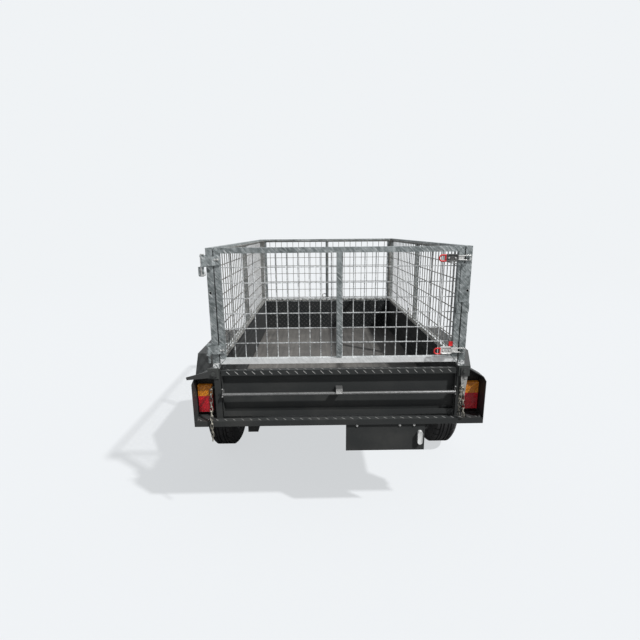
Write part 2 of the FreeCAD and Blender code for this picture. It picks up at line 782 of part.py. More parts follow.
def tailgate_pan():
    """Folded pan: a flat field with lips along the top and bottom, and end flanges."""
    top = TUB_TOP - PAN_TOP_GAP
    low = PAN_BOTTOM
    field = REAR_Y + PAN_DEPTH
    line = [
        (REAR_Y, top - PAN_LIP),
        (REAR_Y, top),
        (field, top),
        (field, low),
        (REAR_Y, low),
        (REAR_Y, low + PAN_LIP),
    ]
    half = INNER_HALF - PAN_END_GAP
    skin = plate(line + offset_line(line, -SHEET)[::-1], "yz", -half, 2 * half)
    flange = box(half - SHEET, half, REAR_Y, field - SHEET, low, top)
    pan = fused([skin, flange, mirrored(flange)])
    return pan


def tailgate_pins():
    """The two pins that the tailgate turns on, from its end flanges into the rear posts."""
    y, z = tail_hinge_line()
    start = INNER_HALF - PAN_END_GAP
    pin = rod(Vector(start, y, z), Vector(HALF_WIDTH - 2 * POST_WALL, y, z), TAIL_PIN_RADIUS)
    return group([pin, mirrored(pin)])


def tailgate_rod():
    """Round bar across the rear of the pan, carried by a lug at each end and a small catch at its middle."""
    z = TUB_TOP - ROD_BELOW_TOP
    y = REAR_Y - ROD_STANDOFF
    half = INNER_HALF - PAN_END_GAP - SHEET
    bar = rod(Vector(-half, y, z), Vector(half, y, z), ROD_RADIUS)
    field = REAR_Y + PAN_DEPTH - SHEET
    catch = box(-CATCH_WIDTH / 2, CATCH_WIDTH / 2, y - ROD_RADIUS / 2, field, z + ROD_RADIUS / 2, z + CATCH_HEIGHT)
    tall = ROD_LUG_HEIGHT / 2
    lug = box(half - ROD_LUG, half, y, field, z - tall, z + tall)
    return fused([bar, catch, lug, mirrored(lug)])


def latch_plate_centre():
    """(x, z) of the right latch plate's bolt."""
    return HALF_WIDTH + POST_WALL, TUB_TOP - LATCH_PLATE / 2


def latch_plates():
    """Square plates on the rear posts that carry the tailgate levers, each with its bolt."""
    x, z = latch_plate_centre()
    half = LATCH_PLATE / 2
    back = REAR_Y - LATCH_PLATE_THICK
    body = box(x - half, x + half, back, REAR_Y, z - half, z + half)
    bolt = rod(Vector(x, REAR_Y, z), Vector(x, back - LEVER_THICK - LINK_PLAY * 2, z), BOLT_RADIUS)
    start = back - LEVER_THICK - LINK_PLAY * 2
    head = rod(Vector(x, start, z), Vector(x, start - BOLT_HEAD, z), BOLT_HEAD_RADIUS)
    latch = fused([body, bolt, head])
    return group([latch, mirrored(latch)])


def lever(angle):
    """A tapered lever on the right latch bolt, turned outwards from hanging straight down."""
    x, z = latch_plate_centre()
    wide, narrow = LEVER_WIDTH / 2, LEVER_TIP_WIDTH / 2
    outline = [
        (x - wide, z + wide), (x + wide, z + wide), (x + wide, z - wide),
        (x + narrow, z - LEVER_LENGTH), (x - narrow, z - LEVER_LENGTH), (x - wide, z - wide),
    ]
    start = REAR_Y - LATCH_PLATE_THICK - LINK_PLAY
    body = plate(outline, "xz", start, -LEVER_THICK)
    hole = rod(Vector(x, start + OVERRUN, z), Vector(x, start - LEVER_THICK - OVERRUN, z), BOLT_RADIUS + LINK_PLAY)
    body = body.cut(hole)
    body.rotate(Vector(x, 0, z), Vector(0, -1, 0), angle)
    return body


def tailgate_levers():
    """The right lever hangs down, and the left one stands out to the side."""
    return group([lever(0), mirrored(lever(90 - LEVER_OUT_ANGLE))])


# Chains

def link():
    """One chain link in the XZ plane round the origin, an octagonal ring."""
    def ring(half_width, half_length, cut):
        return [
            (half_width, half_length - cut), (half_width - cut, half_length),
            (cut - half_width, half_length), (-half_width, half_length - cut),
            (-half_width, cut - half_length), (cut - half_width, -half_length),
            (half_width - cut, -half_length), (half_width, cut - half_length),
        ]
    half = CHAIN_BAR / 2
    outside = plate(ring(LINK_WIDTH / 2, LINK_LENGTH / 2, LINK_OUTER_CUT), "xz", -half, CHAIN_BAR)
    inside = plate(
        ring(LINK_WIDTH / 2 - CHAIN_BAR, LINK_LENGTH / 2 - CHAIN_BAR, LINK_INNER_CUT),
        "xz", -half - OVERRUN, CHAIN_BAR + 2 * OVERRUN,
    )
    return outside.cut(inside)


def chain_pitch():
    return LINK_LENGTH - 2 * CHAIN_BAR - CHAIN_PLAY


def along(points, distance):
    """The place and the direction at a distance along a line of points."""
    for start, end in zip(points, points[1:]):
        run = end - start
        if distance <= run.Length:
            break
        distance -= run.Length
    return start + run * (distance / run.Length), run


def chain(points, links):
    """Links laid along a line of points, each turned a quarter from the last."""
    solids = []
    for i in range(links):
        piece = link()
        if i % 2:
            piece.rotate(Vector(0, 0, 0), Vector(0, 0, 1), 90)
        place, way = along(points, LINK_LENGTH / 2 + i * chain_pitch())
        lean = FreeCAD.Rotation(Vector(0, 0, -1), way)
        piece.Placement = FreeCAD.Placement(place, lean).multiply(piece.Placement)
        solids.append(piece)
    return solids


def left_chain_x():
    return -(HALF_WIDTH + LEFT_CHAIN_OUT)


def right_chain_x():
    return HALF_WIDTH - RIGHT_CHAIN_INSET


def left_chain():
    """The left chain, let go from the tailgate, leans over the edge of the bumper and hangs below it."""
    x = left_chain_x()
    top = TUB_TOP - CHAIN_TOP_DROP
    slant = LINK_LENGTH / 2 + (LEFT_CHAIN_SLANT_LINKS - 1 / 2) * chain_pitch()
    out = CHAIN_LEDGE_Y - CHAIN_STANDOFF
    bend = top - math.sqrt(slant ** 2 - out ** 2)
    line = [
        Vector(x, REAR_Y - CHAIN_STANDOFF, top),
        Vector(x, REAR_Y - CHAIN_LEDGE_Y, bend),
        Vector(x, REAR_Y - CHAIN_LEDGE_Y, bend - LEFT_CHAIN_LINKS * LINK_LENGTH),
    ]
    return group(chain(line, LEFT_CHAIN_LINKS))


def right_chain_ys():
    """Places along the trailer of the two strands of the right chain."""
    near = REAR_Y - CHAIN_STANDOFF
    return near, near - LINK_WIDTH - CHAIN_PLAY


def right_chain():
    """The right chain hangs doubled behind its post, from one eye."""
    x = right_chain_x()
    top = TUB_TOP - CHAIN_TOP_DROP
    strands = []
    for y, spread in zip(right_chain_ys(), RIGHT_CHAIN_SPREADS):
        strands += chain([Vector(x, y, top), Vector(x + spread, y, FLOOR_HEIGHT)], RIGHT_CHAIN_LINKS)
    return group(strands)


def chain_eyes():
    """Pins that the top links hang on. The left one is carried by an arm on the side of its post."""
    z = TUB_TOP - CHAIN_TOP_DROP - CHAIN_BAR - LINK_PLAY - CHAIN_EYE_RADIUS
    x = left_chain_x()
    arm_y = REAR_Y + POST / 2
    left = fused([
        rod(Vector(x, REAR_Y - CHAIN_STANDOFF - 2 * CHAIN_BAR, z), Vector(x, arm_y, z), CHAIN_EYE_RADIUS),
        box(x - CHAIN_BAR, -HALF_WIDTH, arm_y, arm_y + CHAIN_BAR, z - CHAIN_BAR, z + CHAIN_BAR),
    ])
    x = right_chain_x()
    tip = right_chain_ys()[-1] - 2 * CHAIN_BAR
    right = rod(Vector(x, REAR_Y, z), Vector(x, tip, z), CHAIN_EYE_RADIUS)
    return group([left, right])


# Cage

def mesh_sheet(width, height, first_up, first_across):
    """Welded mesh in the XZ plane: edge wires, upright wires and level wires in two layers."""
    depth = 2 * WIRE + WIRE_LAYER_GAP
    solids = [
        box(0, WIRE, 0, depth, 0, height),
        box(width - WIRE, width, 0, depth, 0, height),
        box(WIRE, width - WIRE, 0, depth, 0, WIRE),
        box(WIRE, width - WIRE, 0, depth, height - WIRE, height),
    ]
    x = first_across
    while x < width - 2 * WIRE:
        solids.append(box(x - WIRE / 2, x + WIRE / 2, depth - WIRE, depth, WIRE, height - WIRE))
        x += WIRE_PITCH_ACROSS
    z = height - first_up
    while z > 2 * WIRE:
        solids.append(box(WIRE, width - WIRE, 0, WIRE, z - WIRE / 2, z + WIRE / 2))
        z -= WIRE_PITCH_UP
    return fused(solids)


def cage_side():
    """Right cage side: two posts, top and bottom rails and an upright in the middle."""
    outer = HALF_WIDTH
    rail_x = outer - CAGE_TUBE
    rear = box(INNER_HALF, outer, REAR_Y, REAR_Y + POST, TUB_TOP, CAGE_TOP)
    front = box(INNER_HALF, outer, FRONT_Y - POST, FRONT_Y, TUB_TOP, CAGE_TOP)
    y0, y1 = REAR_Y + POST, FRONT_Y - POST
    low = box(rail_x, outer, y0, y1, TUB_TOP, TUB_TOP + CAGE_TUBE)
    high = box(rail_x, outer, y0, y1, CAGE_TOP - CAGE_TUBE, CAGE_TOP)
    middle = (y0 + y1) / 2
    upright = box(
        rail_x, outer, middle - CAGE_TUBE / 2, middle + CAGE_TUBE / 2, TUB_TOP + CAGE_TUBE, CAGE_TOP - CAGE_TUBE
    )
    frame = fused([rear, front, low, high, upright])
    for y in (REAR_Y, FRONT_Y - POST):
        frame = frame.cut(
            box(
                INNER_HALF + POST_WALL, outer - POST_WALL, y + POST_WALL, y + POST - POST_WALL,
                CAGE_TOP - POST, CAGE_TOP + OVERRUN,
            )
        )
    return frame


def cage_side_mesh():
    """Mesh against the inner face of the right cage side."""
    width = TUB_LENGTH - 2 * POST
    low, high = TUB_TOP + CAGE_TUBE - MESH_LAP, CAGE_TOP - CAGE_TUBE + MESH_LAP
    sheet = mesh_sheet(width, high - low, FIRST_WIRE_BELOW_RAIL + MESH_LAP, WIRE_PITCH_ACROSS)
    sheet.rotate(Vector(0, 0, 0), Vector(0, 0, 1), 90)
    sheet.translate(Vector(HALF_WIDTH - CAGE_TUBE, REAR_Y + POST, low))
    return sheet


def cage_front():
    """Front cage panel between the front posts."""
    y0, y1 = FRONT_Y - CAGE_TUBE, FRONT_Y
    low = box(-INNER_HALF, INNER_HALF, y0, y1, TUB_TOP, TUB_TOP + CAGE_TUBE)
    high = box(-INNER_HALF, INNER_HALF, y0, y1, CAGE_TOP - CAGE_TUBE, CAGE_TOP)
    uprights = []
    for x in (-INNER_HALF, -CAGE_TUBE / 2, INNER_HALF - CAGE_TUBE):
        uprights.append(box(x, x + CAGE_TUBE, y0, y1, TUB_TOP + CAGE_TUBE, CAGE_TOP - CAGE_TUBE))
    return fused([low, high] + uprights)


def cage_front_mesh():
    """Mesh against the inner face of the front panel."""
    depth = 2 * WIRE + WIRE_LAYER_GAP
    half = HALF_WIDTH - CAGE_TUBE - depth - CORNER_GAP
    low, high = TUB_TOP + CAGE_TUBE - MESH_LAP, CAGE_TOP - CAGE_TUBE + MESH_LAP
    sheet = mesh_sheet(2 * half, high - low, FIRST_WIRE_BELOW_RAIL + MESH_LAP, WIRE_PITCH_ACROSS)
    sheet.rotate(Vector(0, 0, 0), Vector(0, 0, 1), 180)
    sheet.translate(Vector(half, FRONT_Y - CAGE_TUBE, low))
    return sheet


def gate_frame():
    """Rear gate between the rear posts, with a stile down its middle."""
    half = INNER_HALF - GATE_GAP
    low, high = TUB_TOP + GATE_LIFT, CAGE_TOP
    y0, y1 = REAR_Y, REAR_Y + CAGE_TUBE
    rails = [
        box(-half, half, y0, y1, low, low + CAGE_TUBE),
        box(-half, half, y0, y1, high - CAGE_TUBE, high),
    ]
    for x in (-half, -CAGE_TUBE / 2, half - CAGE_TUBE):
        rails.append(box(x, x + CAGE_TUBE, y0, y1, low + CAGE_TUBE, high - CAGE_TUBE))
    return fused(rails)


def gate_mesh():
    """Mesh against the inner face of the rear gate."""
    half = INNER_HALF - GATE_GAP - CAGE_TUBE + MESH_LAP
    low = TUB_TOP + GATE_LIFT + CAGE_TUBE - MESH_LAP
    high = CAGE_TOP - CAGE_TUBE + MESH_LAP
    sheet = mesh_sheet(2 * half, high - low, FIRST_WIRE_BELOW_RAIL + MESH_LAP, GATE_FIRST_WIRE)
    sheet.translate(Vector(-half, REAR_Y + CAGE_TUBE, low))
    return sheet


# Gate hinges and latches

def hinge_line():
    """(x, y) of the gate's hinge pins, outside the left rear post."""
    return -(HALF_WIDTH + HINGE_OFFSET), REAR_Y - HINGE_OFFSET


def hinge_heights():
    low, high = TUB_TOP + GATE_LIFT, CAGE_TOP
    return [low + share * (high - low) for share in HINGE_PLACE_SHARES]


def gate_straps():
    """Joggled straps from the gate's left stile round the post to the hinge pins."""
    x, y = hinge_line()
    straps = []
    stile = -(INNER_HALF - GATE_GAP)
    for z in hinge_heights():
        line = [
            (x, y - STRAP / 2),
            (-INNER_HALF, y - STRAP / 2),
            (stile + STRAP, REAR_Y - STRAP),
            (stile + CAGE_TUBE, REAR_Y - STRAP),
        ]
        arm = folded(line, "xy", z - KNUCKLE_HEIGHT / 2, KNUCKLE_HEIGHT, STRAP)
        knuckle = Part.makeCylinder(KNUCKLE_RADIUS, KNUCKLE_HEIGHT, Vector(x, y, z - KNUCKLE_HEIGHT / 2))
        bore = Part.makeCylinder(
            HINGE_PIN_RADIUS + LINK_PLAY, KNUCKLE_HEIGHT + 2 * OVERRUN, Vector(x, y, z - KNUCKLE_HEIGHT / 2 - OVERRUN)
        )
        straps.append(fused([arm, knuckle]).cut(bore))
    return group(straps)


def hinge_pins():
    """Lugs on the left post above and below each knuckle, with a pin. The upper pin's end is bent up as a grip."""
    x, y = hinge_line()
    solids = []
    for bent, z in enumerate(hinge_heights()):
        low = z - KNUCKLE_HEIGHT / 2 - LINK_PLAY
        high = z + KNUCKLE_HEIGHT / 2 + LINK_PLAY
        end = low - LUG_PLATE - PIN_DROP
        pieces = [Part.makeCylinder(HINGE_PIN_RADIUS, high + 2 * LUG_PLATE - end, Vector(x, y, end))]
        if bent:
            tail_x = x - PIN_TAIL_REACH
            pieces.append(rod(Vector(x, y, end), Vector(tail_x, y, end), HINGE_PIN_RADIUS))
            pieces.append(rod(Vector(tail_x, y, end), Vector(tail_x, y, low - LUG_PLATE), HINGE_PIN_RADIUS))
            pieces.append(Part.makeSphere(HINGE_PIN_RADIUS, Vector(x, y, end)))
            pieces.append(Part.makeSphere(HINGE_PIN_RADIUS, Vector(tail_x, y, end)))
        for start, step in ((low, -LUG_PLATE), (high, LUG_PLATE)):
            outline = [
                (x - KNUCKLE_RADIUS, y - KNUCKLE_RADIUS), (x + KNUCKLE_RADIUS, y - KNUCKLE_RADIUS),
                (-HALF_WIDTH, REAR_Y), (-HALF_WIDTH, REAR_Y + POST), (x - KNUCKLE_RADIUS, REAR_Y + POST / 2),
            ]
            pieces.append(plate(outline, "xy", start, step))
        solids.append(fused(pieces))
    return group(solids)


def latch_levels():
    """Height of the upper and the lower latch."""
    return [CAGE_TOP - LATCH_TOP_DROP, TUB_TOP + GATE_LIFT + LATCH_BOTTOM_RISE]


def keeper_x():
    return INNER_HALF + KEEPER_INSET


def latch_bodies():
    """Toggle latches on the gate's right stile, each with a hook ring that goes over a stud on the post."""
    end = INNER_HALF - GATE_GAP
    x1 = end - LATCH_FOOT
    x0 = x1 - LATCH_LENGTH
    half = LATCH_HEIGHT / 2
    back = REAR_Y - LATCH_PLATE_DEPTH
    hook_y = REAR_Y - HOOK_STANDOFF
    solids = []
    for z in latch_levels():
        outline = [
            (x0, z - half / 2), (x0 + half / 2, z - half), (x1 - half / 2, z - half), (x1, z - half / 2),
            (x1, z + half / 2), (x1 - half / 2, z + half), (x0 + half / 2, z + half), (x0, z + half / 2),
        ]
        body = plate(outline, "xz", back, LATCH_PLATE_DEPTH + LATCH_BAR - LATCH_DEPTH)
        foot = box(x0 + half, end, back, REAR_Y, z - half / 2, z + half / 2)
        shank = box(x1 - half, keeper_x() - HOOK_RADIUS + HOOK_PLAY, hook_y - HOOK_PLATE, hook_y,
                    z - HOOK_PLATE, z + HOOK_PLATE)
        ring = rod(Vector(keeper_x(), hook_y, z), Vector(keeper_x(), hook_y - HOOK_PLATE, z), HOOK_RADIUS)
        hole = rod(Vector(keeper_x(), hook_y + OVERRUN, z), Vector(keeper_x(), hook_y - HOOK_PLATE - OVERRUN, z),
                   KEEPER_RADIUS + HOOK_PLAY)
        solids.append(fused([body, foot, shank, ring]).cut(hole))
    return group(solids)


def latch_handles():
    """Coated loops at the free end of each toggle."""
    x1 = INNER_HALF - GATE_GAP - LATCH_FOOT - LATCH_LENGTH
    x0 = x1 - LATCH_HANDLE
    half = LATCH_HEIGHT / 2
    y0 = REAR_Y - LATCH_DEPTH
    loops = []
    for z in latch_levels():
        def loop(inset, cut):
            left, right, low, high = x0 + inset, x1 - inset, z - half + inset, z + half - inset
            return [(left + cut, low), (right, low), (right, high), (left + cut, high), (left, high - cut),
                    (left, low + cut)]
        outside = plate(loop(0.0, LATCH_BAR), "xz", y0, LATCH_BAR)
        inside = plate(loop(LATCH_BAR, LATCH_BAR / 2), "xz", y0 - OVERRUN, LATCH_BAR + 2 * OVERRUN)
        tongue = box(x1 - LATCH_BAR, x1, y0, REAR_Y - LATCH_PLATE_DEPTH - LINK_PLAY,
                     z - half * LATCH_TONGUE_SHARE, z + half * LATCH_TONGUE_SHARE)
        loops.append(fused([outside.cut(inside), tongue]))
    return group(loops)


def latch_keepers():
    """A stud on a small plate for each latch, on the right rear post."""
    solids = []
    for z in latch_levels():
        half = LATCH_HEIGHT / 2
        foot = box(INNER_HALF, HALF_WIDTH - POST_WALL, REAR_Y - LATCH_PLATE_DEPTH, REAR_Y, z - half, z + half)
        stud = rod(Vector(keeper_x(), REAR_Y, z), Vector(keeper_x(), REAR_Y - LATCH_DEPTH, z), KEEPER_RADIUS)
        solids.append(fused([foot, stud]))
    return group(solids)


def post_collar():
    """Folded collar halfway up the right rear post."""
    z = (TUB_TOP + CAGE_TOP) / 2
    half = KNUCKLE_HEIGHT / 2
    line = [(INNER_HALF, REAR_Y), (HALF_WIDTH, REAR_Y), (HALF_WIDTH, REAR_Y + POST)]
    return plate(line + offset_line(line, -SHEET)[::-1], "xy", z - half, 2 * half)


# Number plate bracket

def plate_bracket():
    """Blank number plate panel that hangs under the bumper, folded forwards at its top."""
    z1 = BUMPER_BOTTOM
    y = REAR_Y - BUMPER_REACH + PLATE_INSET
    line = [(y, z1 - PLATE_HEIGHT), (y, z1), (y + PLATE_FLANGE, z1)]
    return plate(line + offset_line(line, -SHEET)[::-1], "yz", PLATE_LEFT, PLATE_WIDTH)


def plate_lamp():
    """Oval lamp near the right end of the number plate panel."""
    x = PLATE_LEFT + PLATE_WIDTH - PLATE_LAMP_INSET
    z = BUMPER_BOTTOM - PLATE_HEIGHT / 2
    half = (PLATE_LAMP_HEIGHT - PLATE_LAMP_WIDTH) / 2
    radius = PLATE_LAMP_WIDTH / 2
    y = REAR_Y - BUMPER_REACH + PLATE_INSET
    ends = [rod(Vector(x, y, z + s * half), Vector(x, y - PLATE_LAMP_DEPTH, z + s * half), radius) for s in (-1, 1)]
    return fused(ends + [box(x - radius, x + radius, y - PLATE_LAMP_DEPTH, y, z - half, z + half)])


# Coupling and jockey wheel

def head_reach():
    return BALL_RADIUS + SOCKET_WALL


def coupling():
    """Ball coupling: a cupped head over the ball and a channel bolted to the nose plate."""
    base = MEMBER_BOTTOM + NOSE_PLATE
    low = base - SOCKET_DEPTH / 2
    half = COUPLING_WIDTH / 2
    cheek = head_reach() * COUPLING_CHEEK_SHARE
    head = Part.makeCylinder(head_reach(), COUPLING_HEIGHT, Vector(0, BALL_Y, low))
    outline = [
        (-half, BALL_Y - COUPLING_LENGTH),
        (half, BALL_Y - COUPLING_LENGTH),
        (half, BALL_Y - COUPLING_LENGTH / 2),
        (cheek, BALL_Y),
        (-cheek, BALL_Y),
        (-half, BALL_Y - COUPLING_LENGTH / 2),
    ]
    body = plate(outline, "xy", base, low + COUPLING_HEIGHT - base)
    bore = Part.makeCylinder(BALL_RADIUS, SOCKET_DEPTH + OVERRUN, Vector(0, BALL_Y, low - OVERRUN))
    return fused([head, body]).cut(bore)


def coupling_lever():
    """Lift lever on top of the coupling."""
    top = MEMBER_BOTTOM + NOSE_PLATE + COUPLING_HEIGHT - SOCKET_DEPTH / 2
    half = COUPLING_WIDTH / 4
    back_share, front_share = COUPLING_LEVER_SHARES
    line = [
        (BALL_Y - COUPLING_LENGTH * back_share, top),
        (BALL_Y - COUPLING_LENGTH * front_share, top),
        (BALL_Y, top + COUPLING_LEVER_RISE),
    ]
    return folded(line, "yz", -half, 2 * half, STRAP)


def jockey_axes():
    """The jockey column's place (x, y) and the outward normal of the drawbar arm that it is clamped to."""
    (x0, y0), (x1, y1) = drawbar_ends()
    size = math.hypot(x1 - x0, y1 - y0)
    normal = ((y1 - y0) / size, (x0 - x1) / size)
    off = DRAWBAR_WIDTH / 2 + JOCKEY_OFFSET
    y = BALL_Y - JOCKEY_FROM_BALL
    return drawbar_line_x(y) + normal[0] * off, y + normal[1] * off, normal


def turned_to_arm(shape):
    """Turns a shape made round the origin, with +X away from the arm, and moves it to the column."""
    x, y, normal = jockey_axes()
    shape.rotate(Vector(0, 0, 0), Vector(0, 0, 1), math.degrees(math.atan2(normal[1], normal[0])))
    shape.translate(Vector(x, y, 0))
    return shape


def clamp_height():
    """Middle of the clamp, level with the middle of the drawbar arm."""
    return (DRAWBAR_BOTTOM + MEMBER_BOTTOM) / 2


def jockey_bracket():
    """Pad on the outside of the right drawbar arm with the clamp ring and its T-handled screw."""
    half = CLAMP_HEIGHT / 2
    z = clamp_height()
    back = -JOCKEY_OFFSET
    outer = JOCKEY_TUBE_RADIUS + CLAMP_WALL
    screw = outer + CLAMP_SCREW
    solid = fused([
        box(back, back + CLAMP_WALL, -half, half, DRAWBAR_BOTTOM, MEMBER_BOTTOM),
        Part.makeCylinder(outer, CLAMP_HEIGHT, Vector(0, 0, z - half)),
        rod(Vector(JOCKEY_TUBE_RADIUS + CLAMP_WALL / 2, 0, z), Vector(screw, 0, z), CRANK_RADIUS),
        rod(Vector(screw, 0, z - half), Vector(screw, 0, z + half), CRANK_RADIUS),
    ])
    bore = Part.makeCylinder(
        JOCKEY_TUBE_RADIUS + LINK_PLAY, CLAMP_HEIGHT + 2 * OVERRUN, Vector(0, 0, z - half - OVERRUN)
    )
    return turned_to_arm(solid.cut(bore))


def column_top():
    return clamp_height() + JOCKEY_TUBE_ABOVE


def jockey_column():
    """Outer tube that the clamp holds, with the gear head and the winding handle on top."""
    top = column_top()
    low = top - JOCKEY_TUBE_LENGTH
    head_top = top + 2 * CLAMP_WALL
    up = head_top + CRANK_RISE
    solid = fused([
        Part.makeCylinder(JOCKEY_TUBE_RADIUS, JOCKEY_TUBE_LENGTH, Vector(0, 0, low)),
        Part.makeCylinder(JOCKEY_TUBE_RADIUS + CLAMP_WALL, 2 * CLAMP_WALL, Vector(0, 0, top)),
        rod(Vector(0, 0, head_top), Vector(0, 0, up), CRANK_RADIUS),
        Part.makeSphere(CRANK_RADIUS, Vector(0, 0, up)),
        rod(Vector(0, 0, up), Vector(0, -CRANK_REACH, up), CRANK_RADIUS),
        rod(Vector(0, -CRANK_REACH, up), Vector(0, -CRANK_REACH, up + CRANK_GRIP), CRANK_RADIUS),
        Part.makeSphere(CRANK_RADIUS, Vector(0, -CRANK_REACH, up)),
    ])
    bore = Part.makeCylinder(
        JOCKEY_LEG_RADIUS + LINK_PLAY, JOCKEY_TUBE_LENGTH - CLAMP_WALL + OVERRUN, Vector(0, 0, low - OVERRUN)
    )
    return turned_to_arm(solid.cut(bore))


def fork_top():
    """Height of the fork's crown above the ground."""
    return JOCKEY_WHEEL_RADIUS * 2 + FORK_ROOM


def jockey_leg():
    """Inner tube that slides in the column."""
    low = fork_top() + 2 * FORK_PLATE
    top = column_top() - JOCKEY_TUBE_LENGTH + JOCKEY_LEG_OVERLAP
    return turned_to_arm(Part.makeCylinder(JOCKEY_LEG_RADIUS, top - low, Vector(0, 0, low)))


def jockey_fork():
    """Swivelling fork with its axle behind the column."""
    half = JOCKEY_WHEEL_WIDTH / 2 + FORK_PLATE
    outer = half + FORK_PLATE
    top = fork_top()
    back = -JOCKEY_TRAIL - FORK_HALF_WIDTH
    solids = [
        box(-outer, outer, back, JOCKEY_LEG_RADIUS, top, top + FORK_PLATE),
        Part.makeCylinder(JOCKEY_LEG_RADIUS, FORK_PLATE - LINK_PLAY, Vector(0, 0, top + FORK_PLATE)),
        rod(
            Vector(-outer, -JOCKEY_TRAIL, JOCKEY_WHEEL_RADIUS),
            Vector(outer, -JOCKEY_TRAIL, JOCKEY_WHEEL_RADIUS), BOLT_RADIUS,
        ),
    ]
    low = JOCKEY_WHEEL_RADIUS - FORK_HALF_WIDTH
    outline = [
        (JOCKEY_LEG_RADIUS, top),
        (back, top),
        (back, low),
        (-JOCKEY_TRAIL + FORK_HALF_WIDTH, low),
    ]
    for side in (-1, 1):
        solids.append(plate(outline, "yz", side * half, side * FORK_PLATE))
    return turned_to_arm(fused(solids))


def jockey_wheel():
    """Solid rubber wheel with a rounded tread and a hub that runs on the fork's pin."""
    half = JOCKEY_WHEEL_WIDTH / 2
    outline = [(-half, BOLT_RADIUS + LINK_PLAY)]
    outline += [(-half * across, JOCKEY_WHEEL_RADIUS * out) for across, out in JOCKEY_WHEEL_SHARES]
    outline += [(-x, r) for x, r in outline[::-1]]
    return turned_to_arm(ring_profile(outline, 0, -JOCKEY_TRAIL, JOCKEY_WHEEL_RADIUS))


# The whole set

def right_and_left(maker):
    """Right and left copies as solids of one sub-part."""
    right = maker()
    return group([right, mirrored(right)])


def main():
    parts = {
        "tub_floor": tub_floor(),
        "tub_front": tub_front(),
        "tub_sides": right_and_left(tub_side),
        "side_ribs": side_ribs(),
        "corner_posts": corner_posts(),
        "rear_bumper": rear_bumper(),
        "cross_members": cross_members(),
        "chassis_rails": chassis_rails(),
        "drawbar": drawbar(),
        "axle": axle(),
        "leaf_springs": leaf_springs(),
        "spring_mounts": group([spring_hangers(), spring_seats()]),
        "mudguards": right_and_left(mudguard),
        "lamp_housings": right_and_left(lamp_housing),
        "lamp_bases": lamp_base(),
        "lamp_lenses_amber": lamp_lens(1 - AMBER_SHARE, 1.0),
        "lamp_lenses_red": lamp_lens(0.0, 1 - AMBER_SHARE),
        "tailgate_pan": fused([tailgate_pan(), tailgate_pins()]),
        "tailgate_rod": tailgate_rod(),
        "latch_plates": group([latch_plates(), chain_eyes()]),
        "tailgate_levers": tailgate_levers(),
        "tailgate_chains": group([left_chain(), right_chain()]),
        "cage_frames": group([right_and_left(cage_side), cage_front()]),
        "cage_meshes": group([right_and_left(cage_side_mesh), cage_front_mesh()]),
        "cage_fittings": group([hinge_pins(), latch_keepers(), post_collar()]),
        "gate_frame": gate_frame(),
        "gate_mesh": gate_mesh(),
        "gate_straps": gate_straps(),
        "gate_latch_bodies": latch_bodies(),
        "gate_latch_handles": latch_handles(),
        "plate_bracket": plate_bracket(),
        "plate_lamp": plate_lamp(),
        "coupling": coupling(),
        "coupling_lever": coupling_lever(),
        "jockey_bracket": jockey_bracket(),
        "jockey_column": jockey_column(),
        "jockey_leg": jockey_leg(),
        "jockey_fork": jockey_fork(),
        "jockey_wheel": jockey_wheel(),
    }
    for name, maker in {"tyre": tyre, "rim": rim, "hub": hub}.items():
        right = maker()
        parts[name + "_right"] = right
        parts[name + "_left"] = mirrored(right)
    os.makedirs("parts", exist_ok=True)
    for name, shape in parts.items():
        shape.exportStep(os.path.join("parts", name + ".step"))
        span = shape.BoundBox
        print(
            f"{name:20s} solids {len(shape.Solids):3d} valid {shape.isValid()} volume {shape.Volume / 1e6:8.3f} l"
            f" x {span.XMin:7.1f} {span.XMax:7.1f} y {span.YMin:7.1f} {span.YMax:7.1f}"
            f" z {span.ZMin:6.1f} {span.ZMax:6.1f}"
        )


main()
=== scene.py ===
# %% [markdown]
# # A caged box trailer, dressed for its picture
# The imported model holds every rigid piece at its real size. This file gives each piece its finish, adds the
# small forms that a press, a die or a mould leaves on the real one, and sets up the floor, light and
# camera. A reader who is learning Blender can run it cell by cell.

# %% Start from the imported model
import json
import math

import bpy
from mathutils import Matrix, Vector


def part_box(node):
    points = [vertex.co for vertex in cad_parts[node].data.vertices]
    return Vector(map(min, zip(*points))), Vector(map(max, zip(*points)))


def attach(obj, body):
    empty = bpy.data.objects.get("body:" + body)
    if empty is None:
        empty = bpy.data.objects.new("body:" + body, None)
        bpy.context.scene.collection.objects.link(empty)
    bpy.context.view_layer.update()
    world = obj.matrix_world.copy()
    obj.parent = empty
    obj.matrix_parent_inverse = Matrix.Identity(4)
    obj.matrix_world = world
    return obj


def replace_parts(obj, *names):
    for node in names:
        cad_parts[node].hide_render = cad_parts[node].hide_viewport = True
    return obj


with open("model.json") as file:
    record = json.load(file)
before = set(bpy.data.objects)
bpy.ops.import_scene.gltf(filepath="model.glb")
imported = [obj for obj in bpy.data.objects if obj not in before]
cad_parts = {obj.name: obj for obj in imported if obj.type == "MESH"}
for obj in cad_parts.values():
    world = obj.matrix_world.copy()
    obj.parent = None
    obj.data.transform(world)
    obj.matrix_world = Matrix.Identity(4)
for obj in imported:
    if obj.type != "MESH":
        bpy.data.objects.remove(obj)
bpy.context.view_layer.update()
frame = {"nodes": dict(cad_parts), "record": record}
print("nodes:", len(frame["nodes"]))

# %% [markdown]
# Every new piece needs the same few steps: nothing else may be selected when an operator runs, and a
# finished piece has its place in its mesh, a material, a name and a body to ride on. These helpers do that,
# so the cells below only hold the shaping.

# %% Helpers for pieces
MM = 0.001
X_AXIS = Vector((1, 0, 0))
Y_AXIS = Vector((0, 1, 0))
Z_AXIS = Vector((0, 0, 1))
REARWARDS = -Y_AXIS


